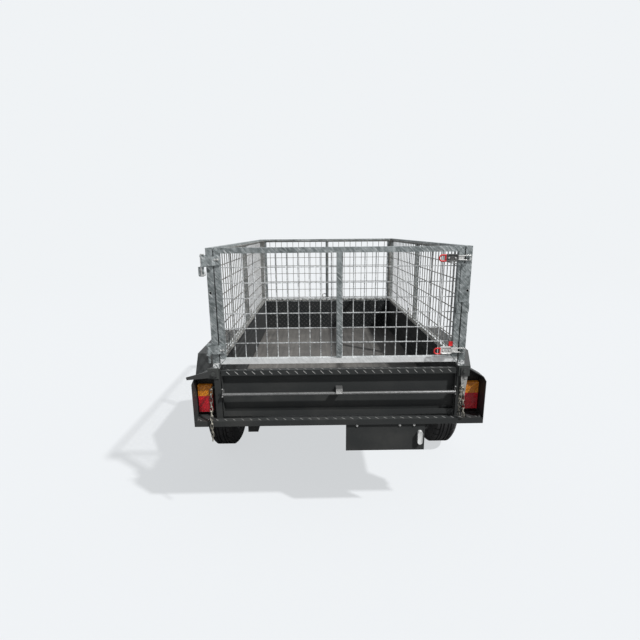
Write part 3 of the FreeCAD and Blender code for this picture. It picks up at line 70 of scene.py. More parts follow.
def deselect():
    """Leaves nothing selected and no mesh in edit mode."""
    if bpy.context.object and bpy.context.object.mode != "OBJECT":
        bpy.ops.object.mode_set(mode="OBJECT")
    bpy.ops.object.select_all(action="DESELECT")


def pick(*objects):
    """Selects these objects and makes the last one active."""
    deselect()
    for piece in objects:
        piece.select_set(True)
    bpy.context.view_layer.objects.active = objects[-1]


def edit_all(piece):
    """Opens a piece in edit mode with all of it selected."""
    pick(piece)
    bpy.ops.object.mode_set(mode="EDIT")
    bpy.ops.mesh.select_all(action="SELECT")


def leave_edit():
    bpy.ops.object.mode_set(mode="OBJECT")
    return bpy.context.object


def choose(piece, kind, test):
    """Opens a piece in edit mode with only the vertices, edges or faces selected that pass a test."""
    edit_all(piece)
    bpy.ops.mesh.select_all(action="DESELECT")
    bpy.ops.mesh.select_mode(type=kind)
    bpy.ops.object.mode_set(mode="OBJECT")
    elements = {"VERT": piece.data.vertices, "EDGE": piece.data.edges, "FACE": piece.data.polygons}
    count = 0
    for element in elements[kind]:
        element.select = test(element)
        count += element.select
    bpy.ops.object.mode_set(mode="EDIT")
    return count


def apply_place(piece):
    """Moves an object's place, turn and scale into its mesh."""
    pick(piece)
    bpy.ops.object.transform_apply(location=True, rotation=True, scale=True)
    return piece


def joined(pieces, name):
    """Several objects as one mesh."""
    pick(*pieces)
    if len(pieces) > 1:
        bpy.ops.object.join()
    piece = bpy.context.object
    piece.name = name
    return piece


def copied(piece, matrix=None):
    """A copy with a mesh of its own, moved by a matrix."""
    twin = piece.copy()
    twin.data = piece.data.copy()
    bpy.context.scene.collection.objects.link(twin)
    if matrix is not None:
        twin.matrix_world = matrix @ piece.matrix_world
    return twin


def outward(piece):
    """Merges doubles and turns every face outwards."""
    edit_all(piece)
    bpy.ops.mesh.remove_doubles(threshold=0.01 * MM)
    bpy.ops.mesh.normals_make_consistent(inside=False)
    return leave_edit()


def settle(pieces, name, body, material, smooth_below=None):
    """Joins pieces into one with a name, a finish and a body, smooth where faces meet below an angle."""
    piece = joined(pieces, name)
    if smooth_below:
        bpy.ops.object.shade_smooth_by_angle(angle=math.radians(smooth_below))
    apply_place(piece)
    piece.data.name = name
    piece.data.materials.clear()
    piece.data.materials.append(material)
    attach(piece, body)
    print(f"{name}: {len(piece.data.polygons)} faces on {body}")
    return piece


def facing(origin, across, up):
    """A matrix that lays local X along across, local Y along up and local Z along their cross product."""
    across, up = across.normalized(), up.normalized()
    matrix = Matrix((across, up, across.cross(up))).transposed().to_4x4()
    matrix.translation = origin
    return matrix


# %% [markdown]
# Three forms come back again and again: a ring of round bar, a pin between two places, and a block with
# round ends. Each starts as one of Blender's own shapes and is then bevelled, inset or turned.

# %% Rings, pins and blocks
def ring(radius, bar, steps, sides, tilt=math.pi / 2):
    """A ring of round bar at the origin. It stands in the XZ plane, or lies flat without a tilt."""
    deselect()
    bpy.ops.mesh.primitive_torus_add(
        rotation=(tilt, 0, 0), major_segments=steps, minor_segments=sides,
        major_radius=radius, minor_radius=bar,
    )
    return apply_place(bpy.context.object)


def pin(start, end, radius, sides=16):
    """A pin between two places with a chamfer at its end."""
    start, end = Vector(start), Vector(end)
    deselect()
    bpy.ops.mesh.primitive_cylinder_add(vertices=sides, radius=radius, depth=(end - start).length)
    piece = bpy.context.object
    choose(piece, "FACE", lambda face: face.normal.z > 0.9)
    bpy.ops.mesh.bevel(offset=radius * 0.25, segments=2)
    leave_edit()
    piece.rotation_euler = (end - start).to_track_quat("Z", "Y").to_euler()
    piece.location = (start + end) / 2
    return apply_place(piece)


def rounded_block(size, radius, dish, place):
    """A block with round ends, and a shallow dish in its outer face (towards -Y)."""
    deselect()
    bpy.ops.mesh.primitive_cube_add(size=1)
    block = bpy.context.object
    block.scale = size
    apply_place(block)

    def along_y(edge):
        first, second = (block.data.vertices[i].co for i in edge.vertices)
        return abs((first - second).normalized().y) > 0.9

    choose(block, "EDGE", along_y)
    bpy.ops.mesh.bevel(offset=radius, segments=6)
    choose(block, "FACE", lambda face: face.normal.y < -0.9)
    bpy.ops.mesh.inset(thickness=dish)
    bpy.ops.mesh.extrude_region_move(TRANSFORM_OT_translate={"value": (0, dish * 0.6, 0)})
    bpy.ops.transform.resize(value=(0.92, 1, 0.86))
    leave_edit()
    outward(block)
    block.location = place
    return apply_place(block)


# %% [markdown]
# A finish is a small network of nodes. Writing `0.3 + 0.2 * grain` is easier to read than four lines that
# place a Math node, so one small class wraps a socket and turns sums into nodes, and one method makes all
# the others.

# %% Sockets that can be added and multiplied
class Wire:
    """A node's output. Sums with it make Math nodes."""

    def __init__(self, finish, socket):
        self.finish = finish
        self.socket = socket

    def maths(self, operation, first, second=0.0):
        return self.finish.node("ShaderNodeMath", {"operation": operation}, {0: first, 1: second})

    def __add__(self, other):
        return self.maths("ADD", self, other)

    def __radd__(self, other):
        return self.maths("ADD", other, self)

    def __sub__(self, other):
        return self.maths("SUBTRACT", self, other)

    def __rsub__(self, other):
        return self.maths("SUBTRACT", other, self)

    def __mul__(self, other):
        return self.maths("MULTIPLY", self, other)

    def __rmul__(self, other):
        return self.maths("MULTIPLY", other, self)

    def sine(self):
        return self.maths("SINE", self)

    def above(self, edge):
        return self.maths("GREATER_THAN", self, edge)

    def smooth(self, low, high):
        """0 below low, 1 above high, and a soft rise between them."""
        sockets = {0: self, 1: low, 2: high, 3: 0.0, 4: 1.0}
        return self.finish.node("ShaderNodeMapRange", {"interpolation_type": "SMOOTHSTEP"}, sockets)


class Finish:
    """One material and its nodes."""

    def __init__(self, name):
        self.material = bpy.data.materials.new(name)
        self.material.use_nodes = True
        self.tree = self.material.node_tree
        self.shader = self.tree.nodes["Principled BSDF"]
        self.place = self.node("ShaderNodeTexCoord", output="Object")

    def node(self, kind, settings=None, sockets=None, output=0):
        """Makes a node: first its settings, then the values or links of its sockets."""
        made = self.tree.nodes.new(kind)
        for key, value in (settings or {}).items():
            setattr(made, key, value)
        for key, value in (sockets or {}).items():
            self.feed(made.inputs[key], value)
        return Wire(self, made.outputs[output])

    def feed(self, socket, value):
        if isinstance(value, Wire):
            self.tree.links.new(value.socket, socket)
        else:
            socket.default_value = value

    def stretched(self, scale, turn=(0, 0, 0)):
        """Object coordinates, turned and scaled."""
        return self.node("ShaderNodeMapping", {}, {"Vector": self.place, "Rotation": turn, "Scale": scale})

    def combined(self, first, second, third=0.0):
        """Three numbers as one place."""
        return self.node("ShaderNodeCombineXYZ", {}, {0: first, 1: second, 2: third})

    def noise(self, scale, detail=3.0, rough=0.55, place=None):
        """Clouds from 0 to 1. A scale of 100 gives clouds of about 10 mm, and detail adds finer ones."""
        sockets = {"Vector": place or self.place, "Scale": scale, "Detail": detail, "Roughness": rough}
        return self.node("ShaderNodeTexNoise", {}, sockets)

    def cells(self, scale):
        """A number of its own for each crystal-like cell."""
        sockets = {"Vector": self.place, "Scale": scale}
        colour = self.node("ShaderNodeTexVoronoi", {}, sockets, output="Color")
        return self.node("ShaderNodeSeparateColor", {}, {0: colour}, output="Red")

    def mix(self, share, first, second):
        """A colour between two colours."""
        settings = {"data_type": "RGBA"}
        return self.node("ShaderNodeMix", settings, {0: share, 6: rgba(first), 7: rgba(second)}, output=2)

    def axis(self, name):
        return self.node("ShaderNodeSeparateXYZ", {}, {0: self.place}, output=name)

    def set(self, **values):
        """Feeds the shader's sockets. A space in a socket's name is written as an underscore."""
        for key, value in values.items():
            self.feed(self.shader.inputs[key.replace("_", " ")], rgba(value))
        return self

    def bump(self, height, depth):
        return self.set(Normal=self.node("ShaderNodeBump", {}, {"Height": height, "Distance": depth}))


def rgba(value):
    """A colour of three numbers gets its fourth."""
    if isinstance(value, tuple) and len(value) == 3:
        return (*value, 1.0)
    return value


# %% [markdown]
# ## Finishes
# The tub is sprayed in a dark satin charcoal. Its surface has a fine orange peel, dust that settles in
# patches and a few paler rubbed specks, so colour, roughness and bump each get their own noise.

# %% Charcoal paint
CHARCOAL = (0.030, 0.032, 0.032)
RUBBED = (0.12, 0.12, 0.115)
DUST = (0.115, 0.11, 0.10)
LEVER_PATCH_TONE = (0.46, 0.46, 0.44)
ORANGE_PEEL_DEPTH = 0.12 * MM
LEVER_PATCH_FROM = 0.785
LEVER_PATCH_TO = 0.80


def charcoal(name, colour=CHARCOAL, dust_share=0.16, rough=0.36):
    """Satin paint with orange peel, patches of dust and rubbed specks."""
    f = Finish(name)
    patches = f.noise(5.0, 6.0, 0.6)
    wipes = f.noise(1.0, 4.0, 0.6, f.stretched((6.0, 40.0, 6.0), (0.2, 0.1, 0.6)))
    specks = f.noise(420.0, 1.0).smooth(0.70, 0.76)
    dusty = patches.smooth(0.42, 0.75) * dust_share + wipes.smooth(0.55, 0.8) * (dust_share * 0.6)
    base = f.mix(dusty, colour, DUST)
    f.set(Base_Color=f.mix(specks * 0.25, base, RUBBED))
    f.set(Roughness=rough + 0.22 * patches + 0.08 * wipes)
    f.set(Specular_IOR_Level=0.22, Coat_Weight=0.04, Coat_Roughness=0.2)
    return f.bump(f.noise(900.0, 2.0) + 0.4 * f.noise(160.0, 2.0), ORANGE_PEEL_DEPTH).material


def lever_with_pale_patch():
    """The right lever is painted a paler steel tone in patches below the latch plate, the left one isn't."""
    f = Finish("lever_paint")
    below_plate = 1 - f.axis("Z").smooth(LEVER_PATCH_FROM, LEVER_PATCH_TO)
    pale_patch = f.axis("X").above(0.0) * below_plate * f.noise(60.0, 3.0).smooth(0.30, 0.48)
    f.set(Base_Color=f.mix(pale_patch, (0.042, 0.043, 0.042), LEVER_PATCH_TONE))
    f.set(Roughness=0.34 + 0.2 * f.noise(25.0, 2.0), Metallic=pale_patch * 0.5)
    return f.bump(f.noise(700.0, 2.0), 0.1 * MM).material


paint = charcoal("charcoal_paint")
frame_paint = charcoal("chassis_paint", (0.028, 0.029, 0.029), 0.22, 0.42)
# Darker copy of the charcoal for the tub's front and sides: painted shade.
shaded_wall_paint = charcoal("shaded_wall_paint", (0.017, 0.019, 0.020), 0.10, 0.36)
# Pale copy of the charcoal for the tailgate and bumper bars: a painted highlight.
highlight_bar_paint = charcoal("highlight_bar_paint", (0.30, 0.30, 0.29), 0.3, 0.3)
# The wall tread's bars are painted paler than the wall sheet.
bar_paint = charcoal("paler_wall_bars", (0.055, 0.056, 0.056), 0.3, 0.3)
plate_paint = charcoal("latch_plate_paint", (0.058, 0.063, 0.060), 0.2, 0.34)
lever_steel = lever_with_pale_patch()
print("made", paint.name, highlight_bar_paint.name, lever_steel.name)

# %% [markdown]
# Hot-dip galvanised steel freezes in flat crystals, the spangle, and it darkens in slanted streaks. Voronoi
# cells give each crystal its own tone and roughness. The streaks are a noise that changes fast along X plus
# Z and slowly along X minus Z, so they run down to the right on every face that shows to the rear.

# %% Galvanised steel
ZINC_DARK = (0.12, 0.138, 0.138)
ZINC_PALE = (0.42, 0.452, 0.455)
# Near-white for the painted glint highlights, also used for the pale band and spots below a height.
GLINT = (0.88, 0.89, 0.88)
SPANGLE_DEPTH = 0.25 * MM
BAND_EDGE = 2 * MM
GATE_BAND = 26 * MM
CAGE_BAND = 27 * MM


def galvanised(
    name, crystal=95.0, dark=ZINC_DARK, pale=ZINC_PALE, rough=0.34, streaks=0.6, glints=0.5,
    pale_below=0.0, mottled_below=0.0,
):
    """Spangled zinc with slanted streaks and painted glint highlights; below a height brighter or mottled."""
    f = Finish(name)
    spangle = f.cells(crystal) * 0.6 + f.cells(crystal * 0.37) * 0.4
    x, z = f.axis("X"), f.axis("Z")
    slanted = f.combined((x + z) * 180.0, (x - z) * 20.0, f.axis("Y") * 30.0)
    run = f.noise(1.0, 4.0, 0.55, slanted)
    cloud = f.noise(6.0, 4.0)
    share = spangle * (1 - streaks) + run.smooth(0.22, 0.8) * streaks + (cloud - 0.5) * 0.6
    base = f.mix(share.smooth(0.1, 0.95), dark, pale)
    # Painted highlights: sparse glint ticks along the streaks.
    base = f.mix(run.smooth(0.60, 0.67) * glints, base, GLINT)
    if pale_below:
        # Below a height the colour is pushed towards the near-white glint colour, so the bottom rail is
        # brighter.
        pale_band = 1 - z.smooth(pale_below - BAND_EDGE, pale_below)
        base = f.mix(pale_band * (0.75 + 0.25 * share), base, GLINT)
    if mottled_below:
        mottled = 1 - z.smooth(mottled_below - BAND_EDGE, mottled_below)
        base = f.mix(mottled * f.noise(120.0, 3.0).smooth(0.46, 0.53), base, GLINT)
        base = f.mix(mottled * f.noise(95.0, 3.0).smooth(0.57, 0.63) * 0.8, base, ZINC_DARK)
    f.set(Base_Color=base, Metallic=0.5)
    f.set(Roughness=rough + 0.18 * spangle + 0.1 * cloud)
    return f.bump(spangle * 0.5 + f.noise(300.0, 2.0), SPANGLE_DEPTH).material


zinc = galvanised("galvanised_tube")
wire_zinc = galvanised("galvanised_wire", 260.0, (0.20, 0.205, 0.205), (0.78, 0.80, 0.80), 0.42, 0.3)
dull_wire = galvanised(
    "weathered_wire", 260.0, (0.10, 0.098, 0.090), (0.40, 0.39, 0.365), 0.46, 0.3, glints=0.2
)
plated = galvanised("bright_plating", 900.0, (0.34, 0.34, 0.33), (0.80, 0.80, 0.78), 0.24, 0.25)
dull_plating = galvanised("dull_plating", 500.0, (0.035, 0.035, 0.036), (0.16, 0.16, 0.155), 0.38, 0.3)
brassy = galvanised("passivated_chain", 160.0, (0.016, 0.015, 0.013), (0.60, 0.57, 0.48), 0.24, 0.2)
rod_steel = galvanised("drawn_rod", 700.0, (0.10, 0.102, 0.10), (0.23, 0.23, 0.228), 0.26, 0.1, glints=0.0)
gate_zinc = galvanised("gate_tube", pale_below=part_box("gate_frame")[0].z + GATE_BAND)
cage_zinc = galvanised("cage_tube", mottled_below=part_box("cage_frames")[0].z + CAGE_BAND)
print("made", zinc.name, wire_zinc.name, plated.name, gate_zinc.name)

# %% [markdown]
# The floor sheet is the same tread plate as the sides, but shoes and loads have scuffed it to a dusty grey,
# so it gets paler, rougher patches and long scratches.

# %% Floor finish
def scuffed_floor():
    f = Finish("scuffed_floor")
    wide = f.noise(2.6, 6.0, 0.65)
    drag = f.noise(1.0, 6.0, 0.7, f.stretched((60.0, 2.5, 20.0), (0.0, 0.0, 0.12)))
    pale_patch = wide.smooth(0.3, 0.75) * 0.55 + drag.smooth(0.5, 0.75) * 0.35
    f.set(Base_Color=f.mix(pale_patch, (0.055, 0.053, 0.05), (0.19, 0.18, 0.165)))
    f.set(Roughness=0.5 + 0.3 * wide)
    return f.bump(drag + 0.5 * f.noise(500.0, 2.0), 0.15 * MM).material


floor_paint = scuffed_floor()

# %% [markdown]
# Rubber is never quite black. Road dust greys it, and the moulding leaves it slightly uneven.

# %% Rubber and plastics
ROAD_DUST = (0.075, 0.07, 0.064)


def rubber(name, colour):
    f = Finish(name)
    cloud = f.noise(14.0, 5.0, 0.65)
    f.set(Base_Color=f.mix(cloud.smooth(0.45, 0.85) * 0.6, colour, ROAD_DUST))
    f.set(Roughness=0.72 + 0.2 * cloud)
    return f.bump(f.noise(700.0, 3.0), 0.2 * MM).material


def moulded(name, colour, rough, shine=0.5):
    """Moulded plastic with a faint grain."""
    f = Finish(name)
    cloud = f.noise(30.0, 3.0)
    pale_patch = tuple(min(1.0, channel * 1.35 + 0.01) for channel in colour)
    f.set(Base_Color=f.mix(cloud.smooth(0.5, 0.85) * 0.5, colour, pale_patch), Roughness=rough + 0.14 * cloud)
    f.set(Specular_IOR_Level=shine)
    return f.bump(f.noise(1100.0, 2.0), 0.06 * MM).material


tyre_rubber = rubber("tyre_rubber", (0.022, 0.022, 0.023))
wheel_rubber = rubber("solid_rubber", (0.03, 0.03, 0.031))
black_plastic = moulded("black_plastic", (0.022, 0.022, 0.024), 0.45)
red_dip = moulded("red_dipped_grip", (0.62, 0.018, 0.02), 0.28)
reflex_red = moulded("reflex_red", (0.90, 0.03, 0.03), 0.2)
frosted = moulded("frosted_lens", (0.66, 0.67, 0.66), 0.16)
hole_shade = moulded("hole_shade", (0.004, 0.004, 0.004), 0.8, shine=0.0)
print("made", tyre_rubber.name, black_plastic.name, red_dip.name)

# %% [markdown]
# A lamp lens is clear coloured plastic with rows of small prisms moulded inside. The prisms are a product
# of two sine waves in the bump, and the colour is painted darker between them as shade.
# Slanted gleams lie over them as painted highlights, and a faint glow, painted light since the lamp is off,
# stands for the light that the prisms gather.

# %% Lamp lenses
PRISM = 1500.0
PRISM_DEPTH = 0.6 * MM
LENS_GLOW = 0.14


def lens(name, deep, bright):
    f = Finish(name)
    x, z = f.axis("X"), f.axis("Z")
    waffle = (x * PRISM).sine() * (z * PRISM).sine()
    speckle = f.noise(260.0, 2.0).smooth(0.42, 0.6)
    # Painted highlights: slanted gleams in the colour.
    gleam = f.noise(1.0, 3.0, 0.5, f.combined((x - z) * 150.0, (x + z) * 22.0)).smooth(0.55, 0.68)
    tint = f.mix(waffle.smooth(-0.9, 0.9) * 0.3 + speckle * 0.4 + gleam * 0.5, deep, bright)
    # The glow is painted light: no lamp shines in the lens.
    f.set(Base_Color=tint, Emission_Color=tint, Roughness=0.12 + 0.1 * f.noise(38.0, 3.0))
    f.set(Emission_Strength=LENS_GLOW, Coat_Weight=0.35, Coat_Roughness=0.05, Specular_IOR_Level=0.4)
    return f.bump(waffle, PRISM_DEPTH).material


amber = lens("amber_lens", (0.26, 0.05, 0.002), (0.95, 0.38, 0.025))
red = lens("red_lens", (0.12, 0.002, 0.004), (0.78, 0.018, 0.035))
print("made", amber.name, red.name)

# %% [markdown]
# The wheels are sprayed silver. Flakes in the paint give it a fine sparkle, and the tone drifts in soft
# clouds.

# %% Silver wheel paint
def silver():
    f = Finish("silver_wheel_paint")
    flakes = f.cells(2600.0)
    cloud = f.noise(12.0, 4.0)
    f.set(Base_Color=f.mix(flakes * 0.5 + cloud * 0.3, (0.44, 0.45, 0.46), (0.70, 0.71, 0.73)))
    f.set(Metallic=0.55, Roughness=0.34 + 0.15 * cloud)
    return f.bump(f.noise(800.0, 2.0), 0.08 * MM).material


wheel_silver = silver()

# %% [markdown]
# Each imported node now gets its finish. The nodes keep their meshes, only their material slots change.

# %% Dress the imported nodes
FINISH_OF_SLOT = {
    "dark_paint": paint,
    "galvanised": zinc,
    "bright_steel": plated,
    "black_plastic": black_plastic,
    "amber_lens": amber,
    "red_lens": red,
    "red_grip": red_dip,
    "tyre": tyre_rubber,
    "solid_rubber": wheel_rubber,
    "silver_paint": wheel_silver,
}
FINISH_OF_NODE = {
    "tub_floor": floor_paint,
    "tub_front": shaded_wall_paint,
    "tub_sides": shaded_wall_paint,
    "tailgate_rod": rod_steel,
    "gate_frame": gate_zinc,
    "cage_frames": cage_zinc,
    "tailgate_levers": lever_steel,
    "latch_plates": plate_paint,
    "cage_meshes": dull_wire,
    "gate_mesh": wire_zinc,
}
for name in ("axle", "leaf_springs", "spring_mounts", "chassis_rails", "cross_members", "drawbar"):
    FINISH_OF_NODE[name] = frame_paint
slot_of = {part["node"]: part["material_slot"] for part in frame["record"]["subparts"]}
for name, node in frame["nodes"].items():
    node.data.materials.clear()
    node.data.materials.append(FINISH_OF_NODE.get(name, FINISH_OF_SLOT[slot_of[name]]))
print("dressed", len(frame["nodes"]), "nodes")

# %% [markdown]
# ## Tread plate
# The tub is folded from tread plate, and its raised bars lie in rows that lean to the left and right in
# turn. One bar is a stretched hexagon that is pulled up and drawn in, and two array modifiers repeat a pair
# of them.

# %% Bars of the tread plate
PITCH = 41 * MM
BAR_LENGTH = 26 * MM
BAR_WIDTH = 6 * MM
BAR_HEIGHT = 1.3 * MM
BAR_TOP_SHARES = (0.45, 0.8, 1)
LEANS = (45, -45)


def tread_bar(lean, bar_width):
    """One raised bar at the origin, turned by an angle."""
    deselect()
    bpy.ops.mesh.primitive_circle_add(vertices=6, radius=BAR_LENGTH / 2, fill_type="NGON")
    bar = bpy.context.object
    edit_all(bar)
    bpy.ops.transform.resize(value=(bar_width / BAR_LENGTH / math.cos(math.pi / 6), 1, 1))
    bpy.ops.mesh.extrude_region_move(TRANSFORM_OT_translate={"value": (0, 0, BAR_HEIGHT)})
    bpy.ops.transform.resize(value=BAR_TOP_SHARES)
    leave_edit()
    bar.rotation_euler.z = lean
    return apply_place(bar)


def tread(
    name, body, material, corner, across, up, width, height, rows=None, leans=LEANS, bar_width=BAR_WIDTH
):
    """Rows of bars on a flat sheet, from one corner of it. Across and up are the sheet's two directions."""
    columns = int((width - BAR_LENGTH) / PITCH) + 1
    rows = rows or int((height - BAR_LENGTH) / PITCH) + 1
    bars = []
    for i, degrees in enumerate(leans):
        bar = tread_bar(math.radians(degrees), bar_width)
        bar.location = (i * PITCH / 2, i * PITCH / 2, 0)
        bars.append(apply_place(bar))
    sheet = joined(bars, name)
    for count, step in ((columns, (PITCH, 0, 0)), (rows, (0, PITCH, 0))):
        row = sheet.modifiers.new("row", "ARRAY")
        row.count = count
        row.use_relative_offset = False
        row.use_constant_offset = True
        row.constant_offset_displace = step
        bpy.ops.object.modifier_apply(modifier=row.name)
    used_width = (columns - 1 + (len(leans) - 1) / 2) * PITCH
    used_height = (rows - 1 + (len(leans) - 1) / 2) * PITCH
    sheet.location = ((width - used_width) / 2, (height - used_height) / 2, 0)
    apply_place(sheet)
    sheet.matrix_world = facing(corner, across, up)
    apply_place(sheet)
    return settle([outward(sheet)], name, body, material)


floor_low, floor_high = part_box("tub_floor")
wall_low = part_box("tub_front")[0]
pan_low, pan_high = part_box("tailgate_pan")
bumper_low, bumper_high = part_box("rear_bumper")
tub_width = floor_high.x - floor_low.x
tub_length = floor_high.y - floor_low.y
tub_depth = pan_high.z - floor_high.z
rear_left = (floor_low.x, floor_low.y, floor_high.z)
front_left = (floor_low.x, wall_low.y, floor_high.z)
front_right = (floor_high.x, wall_low.y, floor_high.z)

tread("floor_tread", "trailer", floor_paint, rear_left, X_AXIS, Y_AXIS, tub_width, tub_length)
for name, corner, across, width in (
    ("front_wall_tread", front_left, X_AXIS, tub_width),
    ("right_wall_tread", front_right, -Y_AXIS, tub_length),
    ("left_wall_tread", rear_left, Y_AXIS, tub_length),
):
    tread(name, "trailer", bar_paint, corner, across, Z_AXIS, width, tub_depth)

# %% [markdown]
# The tailgate is a folded pan of the same plate. Its pattern shows on the lip and on the top flange, and
# the bumper's ledge shows one row of it. The bars there are narrow and pale: a painted highlight.

# %% Tread on the tailgate and the bumper
PAN_HALF = 565 * MM
LIP = 27 * MM
LEDGE = 30 * MM
HIGHLIGHT_BAR_WIDTH = 3.4 * MM


def highlight_row(name, body, corner, up, width, height):
    """One row of narrow bars that all lean the same way; their pale colour is a painted highlight."""
    tread(name, body, highlight_bar_paint, corner, X_AXIS, up, width, height,
          rows=1, leans=LEANS[:1], bar_width=HIGHLIGHT_BAR_WIDTH)


lip_corner = (-PAN_HALF, pan_low.y, pan_high.z - LIP)
top_corner = (-PAN_HALF, pan_low.y, pan_high.z)
ledge_corner = (bumper_low.x, bumper_low.y, bumper_high.z)

highlight_row("tailgate_lip_tread", "tailgate", lip_corner, Z_AXIS, 2 * PAN_HALF, LIP)
highlight_row("tailgate_top_tread", "tailgate", top_corner, Y_AXIS, 2 * PAN_HALF, pan_high.y - pan_low.y)
highlight_row("bumper_tread", "trailer", ledge_corner, Y_AXIS, bumper_high.x - bumper_low.x, LEDGE)

# %% [markdown]
# ## Chains
# A welded link is a round bar bent into a stretched ring. The ring starts as a torus, and each half of it
# is pulled outwards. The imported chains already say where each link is, so a copy of their mesh is split
# into links and each one's long and wide directions are measured.

# %% Welded chain links
LINK_BAR = 1.9 * MM
LINK_WIDTH = 15 * MM
LINK_LENGTH = 32 * MM
TINY = 0.0001 * MM


def welded_link():
    """One link along local Y, with its opening along local Z."""
    link = ring(LINK_WIDTH / 2 - LINK_BAR, LINK_BAR, 20, 8, tilt=0)
    pull = (LINK_LENGTH - LINK_WIDTH) / 2
    choose(link, "VERT", lambda vertex: vertex.co.y >= -TINY)
    bpy.ops.transform.translate(value=(0, pull, 0))
    choose(link, "VERT", lambda vertex: vertex.co.y < -TINY)
    bpy.ops.transform.translate(value=(0, -pull, 0))
    return leave_edit()


def loose_parts(node_name):
    """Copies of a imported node's separate solids."""
    source = copied(frame["nodes"][node_name])
    source.parent = None
    source.matrix_world = Matrix.Identity(4)
    outward(source)
    edit_all(source)
    bpy.ops.mesh.separate(type="LOOSE")
    leave_edit()
    return list(bpy.context.selected_objects)


def long_axes(piece):
    """Middle, longest and middle-long directions of a small solid, from the spread of its vertices."""
    points = [vertex.co.copy() for vertex in piece.data.vertices]
    low = Vector([min(point[i] for point in points) for i in range(3)])
    high = Vector([max(point[i] for point in points) for i in range(3)])
    centre = (low + high) / 2
    arms = [point - centre for point in points]
    reach = max(arm.length for arm in arms)
    ends = [arm for arm in arms if arm.length > reach * 0.97 and arm.z > 0]
    along = sum(ends, Vector()).normalized()
    flat = [arm - arm.dot(along) * along for arm in arms]
    wide = max(arm.length for arm in flat)
    turned = max(abs(arm.normalized().dot(X_AXIS)) for arm in flat if arm.length > wide * 0.9)
    across = X_AXIS if turned > 0.9 else Y_AXIS
    return centre, along, (across - across.dot(along) * along).normalized()


def dress_chains():
    pattern = welded_link()
    links = []
    for solid in loose_parts("tailgate_chains"):
        centre, along, across = long_axes(solid)
        links.append(apply_place(copied(pattern, facing(centre, across, along))))
        bpy.data.objects.remove(solid)
    bpy.data.objects.remove(pattern)
    chains = settle(links, "chain_links", "trailer", brassy, 60)
    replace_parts(chains, "tailgate_chains")


dress_chains()

# %% [markdown]
# ## Tyres
# A tyre is moulded round: its section is a flattened ring, fat at the sidewalls and flat at the tread. A
# circle is squashed into that section and spun round the axle. Rings of faces are then pushed in for the
# long grooves, and every fourth row of the shoulder for the cross grooves, as the mould's ribs do it.

# %% Tyres
SECTION_POINTS = 60
ROWS_ROUND = 144
SIDE_FULLNESS = 1.24
BEAD_DEPTH = 10 * MM
CROWN_BAND = 0.2 * MM
SHOULDER_BAND = 14 * MM
SHOULDER_GAP = 2 * MM
GROOVE_DEPTH = 7 * MM
CROSS_DEPTH_SHARE = 0.6
ROWS_A_CROSS = 4
SIDE_RIB = 0.8 * MM


def push_faces(piece, chosen, distance):
    """Extrudes the faces that a test chooses along their normals."""
    count = choose(piece, "FACE", chosen)
    bpy.ops.mesh.extrude_region_shrink_fatten(TRANSFORM_OT_shrink_fatten={"value": distance})
    leave_edit()
    return count


def squash(piece, beyond, sign):
    """Flattens the part of a section that lies beyond a height."""
    choose(piece, "VERT", lambda vertex: vertex.co.z * sign > beyond)
    bpy.ops.transform.resize(value=(1, 1, 0), center_override=(0, 0, sign * beyond), orient_type="GLOBAL")
    leave_edit()


def make_tyre(side):
    node = "tyre_" + side
    low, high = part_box(node)
    outer = (high.z - low.z) / 2
    half_width = (high.x - low.x) / 2
    rim_low, rim_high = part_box("rim_" + side)
    inner = (rim_high.z - rim_low.z) / 2 - BEAD_DEPTH
    half_height = (outer - inner) / 2
    deselect()
    bpy.ops.mesh.primitive_circle_add(vertices=SECTION_POINTS, radius=1, rotation=(math.pi / 2, 0, 0))
    tyre = bpy.context.object
    tyre.scale = (half_width, half_height * SIDE_FULLNESS, 1)
    apply_place(tyre)
    squash(tyre, half_height, 1)
    squash(tyre, half_height, -1)
    edit_all(tyre)
    bpy.ops.transform.translate(value=(0, 0, outer - half_height))
    bpy.ops.mesh.spin(steps=ROWS_ROUND, angle=2 * math.pi, center=(0, 0, 0), axis=(1, 0, 0))
    leave_edit()
    outward(tyre)

    def radius(face):
        return math.hypot(face.center.y, face.center.z)

    def on_crown(face):
        return radius(face) > outer - CROWN_BAND

    crown = sorted({round(face.center.x, 4) for face in tyre.data.polygons if on_crown(face)})
    grooves = {crown[len(crown) * i // 5] for i in range(1, 5)}
    shoulder = max(abs(x) for x in grooves) + SHOULDER_GAP
    step = 2 * math.pi / ROWS_ROUND

    def in_groove(face):
        return on_crown(face) and round(face.center.x, 4) in grooves

    def in_cross_groove(face):
        row = int((math.atan2(face.center.z, face.center.y) + math.pi) / step)
        on_shoulder = radius(face) > outer - SHOULDER_BAND and abs(face.center.x) > shoulder
        return on_shoulder and row % ROWS_A_CROSS == 0 and abs(face.normal.x) < 0.93

    def on_side_rib(face):
        share = (radius(face) - inner) / (outer - inner)
        return abs(face.center.x) > half_width * 0.8 and (0.2 < share < 0.27 or 0.66 < share < 0.72)

    count = push_faces(tyre, in_groove, -GROOVE_DEPTH)
    count += push_faces(tyre, in_cross_groove, -GROOVE_DEPTH * CROSS_DEPTH_SHARE)
    count += push_faces(tyre, on_side_rib, SIDE_RIB)
    tyre.location = (low + high) / 2
    settle([tyre], "tyre_rubber_" + side, side + "_wheel", tyre_rubber, 32)
    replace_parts(tyre, node)
    print("pushed", count, "faces")


make_tyre("right")
make_tyre("left")

# %% [markdown]
# ## Gate latches
# Each latch is an over-centre toggle: a pressed body, a hook ring that goes over a stud on the post, and a
# bent bar handle dipped in red vinyl. The bar is half a ring with straight legs, so half a torus is kept
# and its two open ends are pulled out. The upper latch has a dark body, the lower one a bright body.

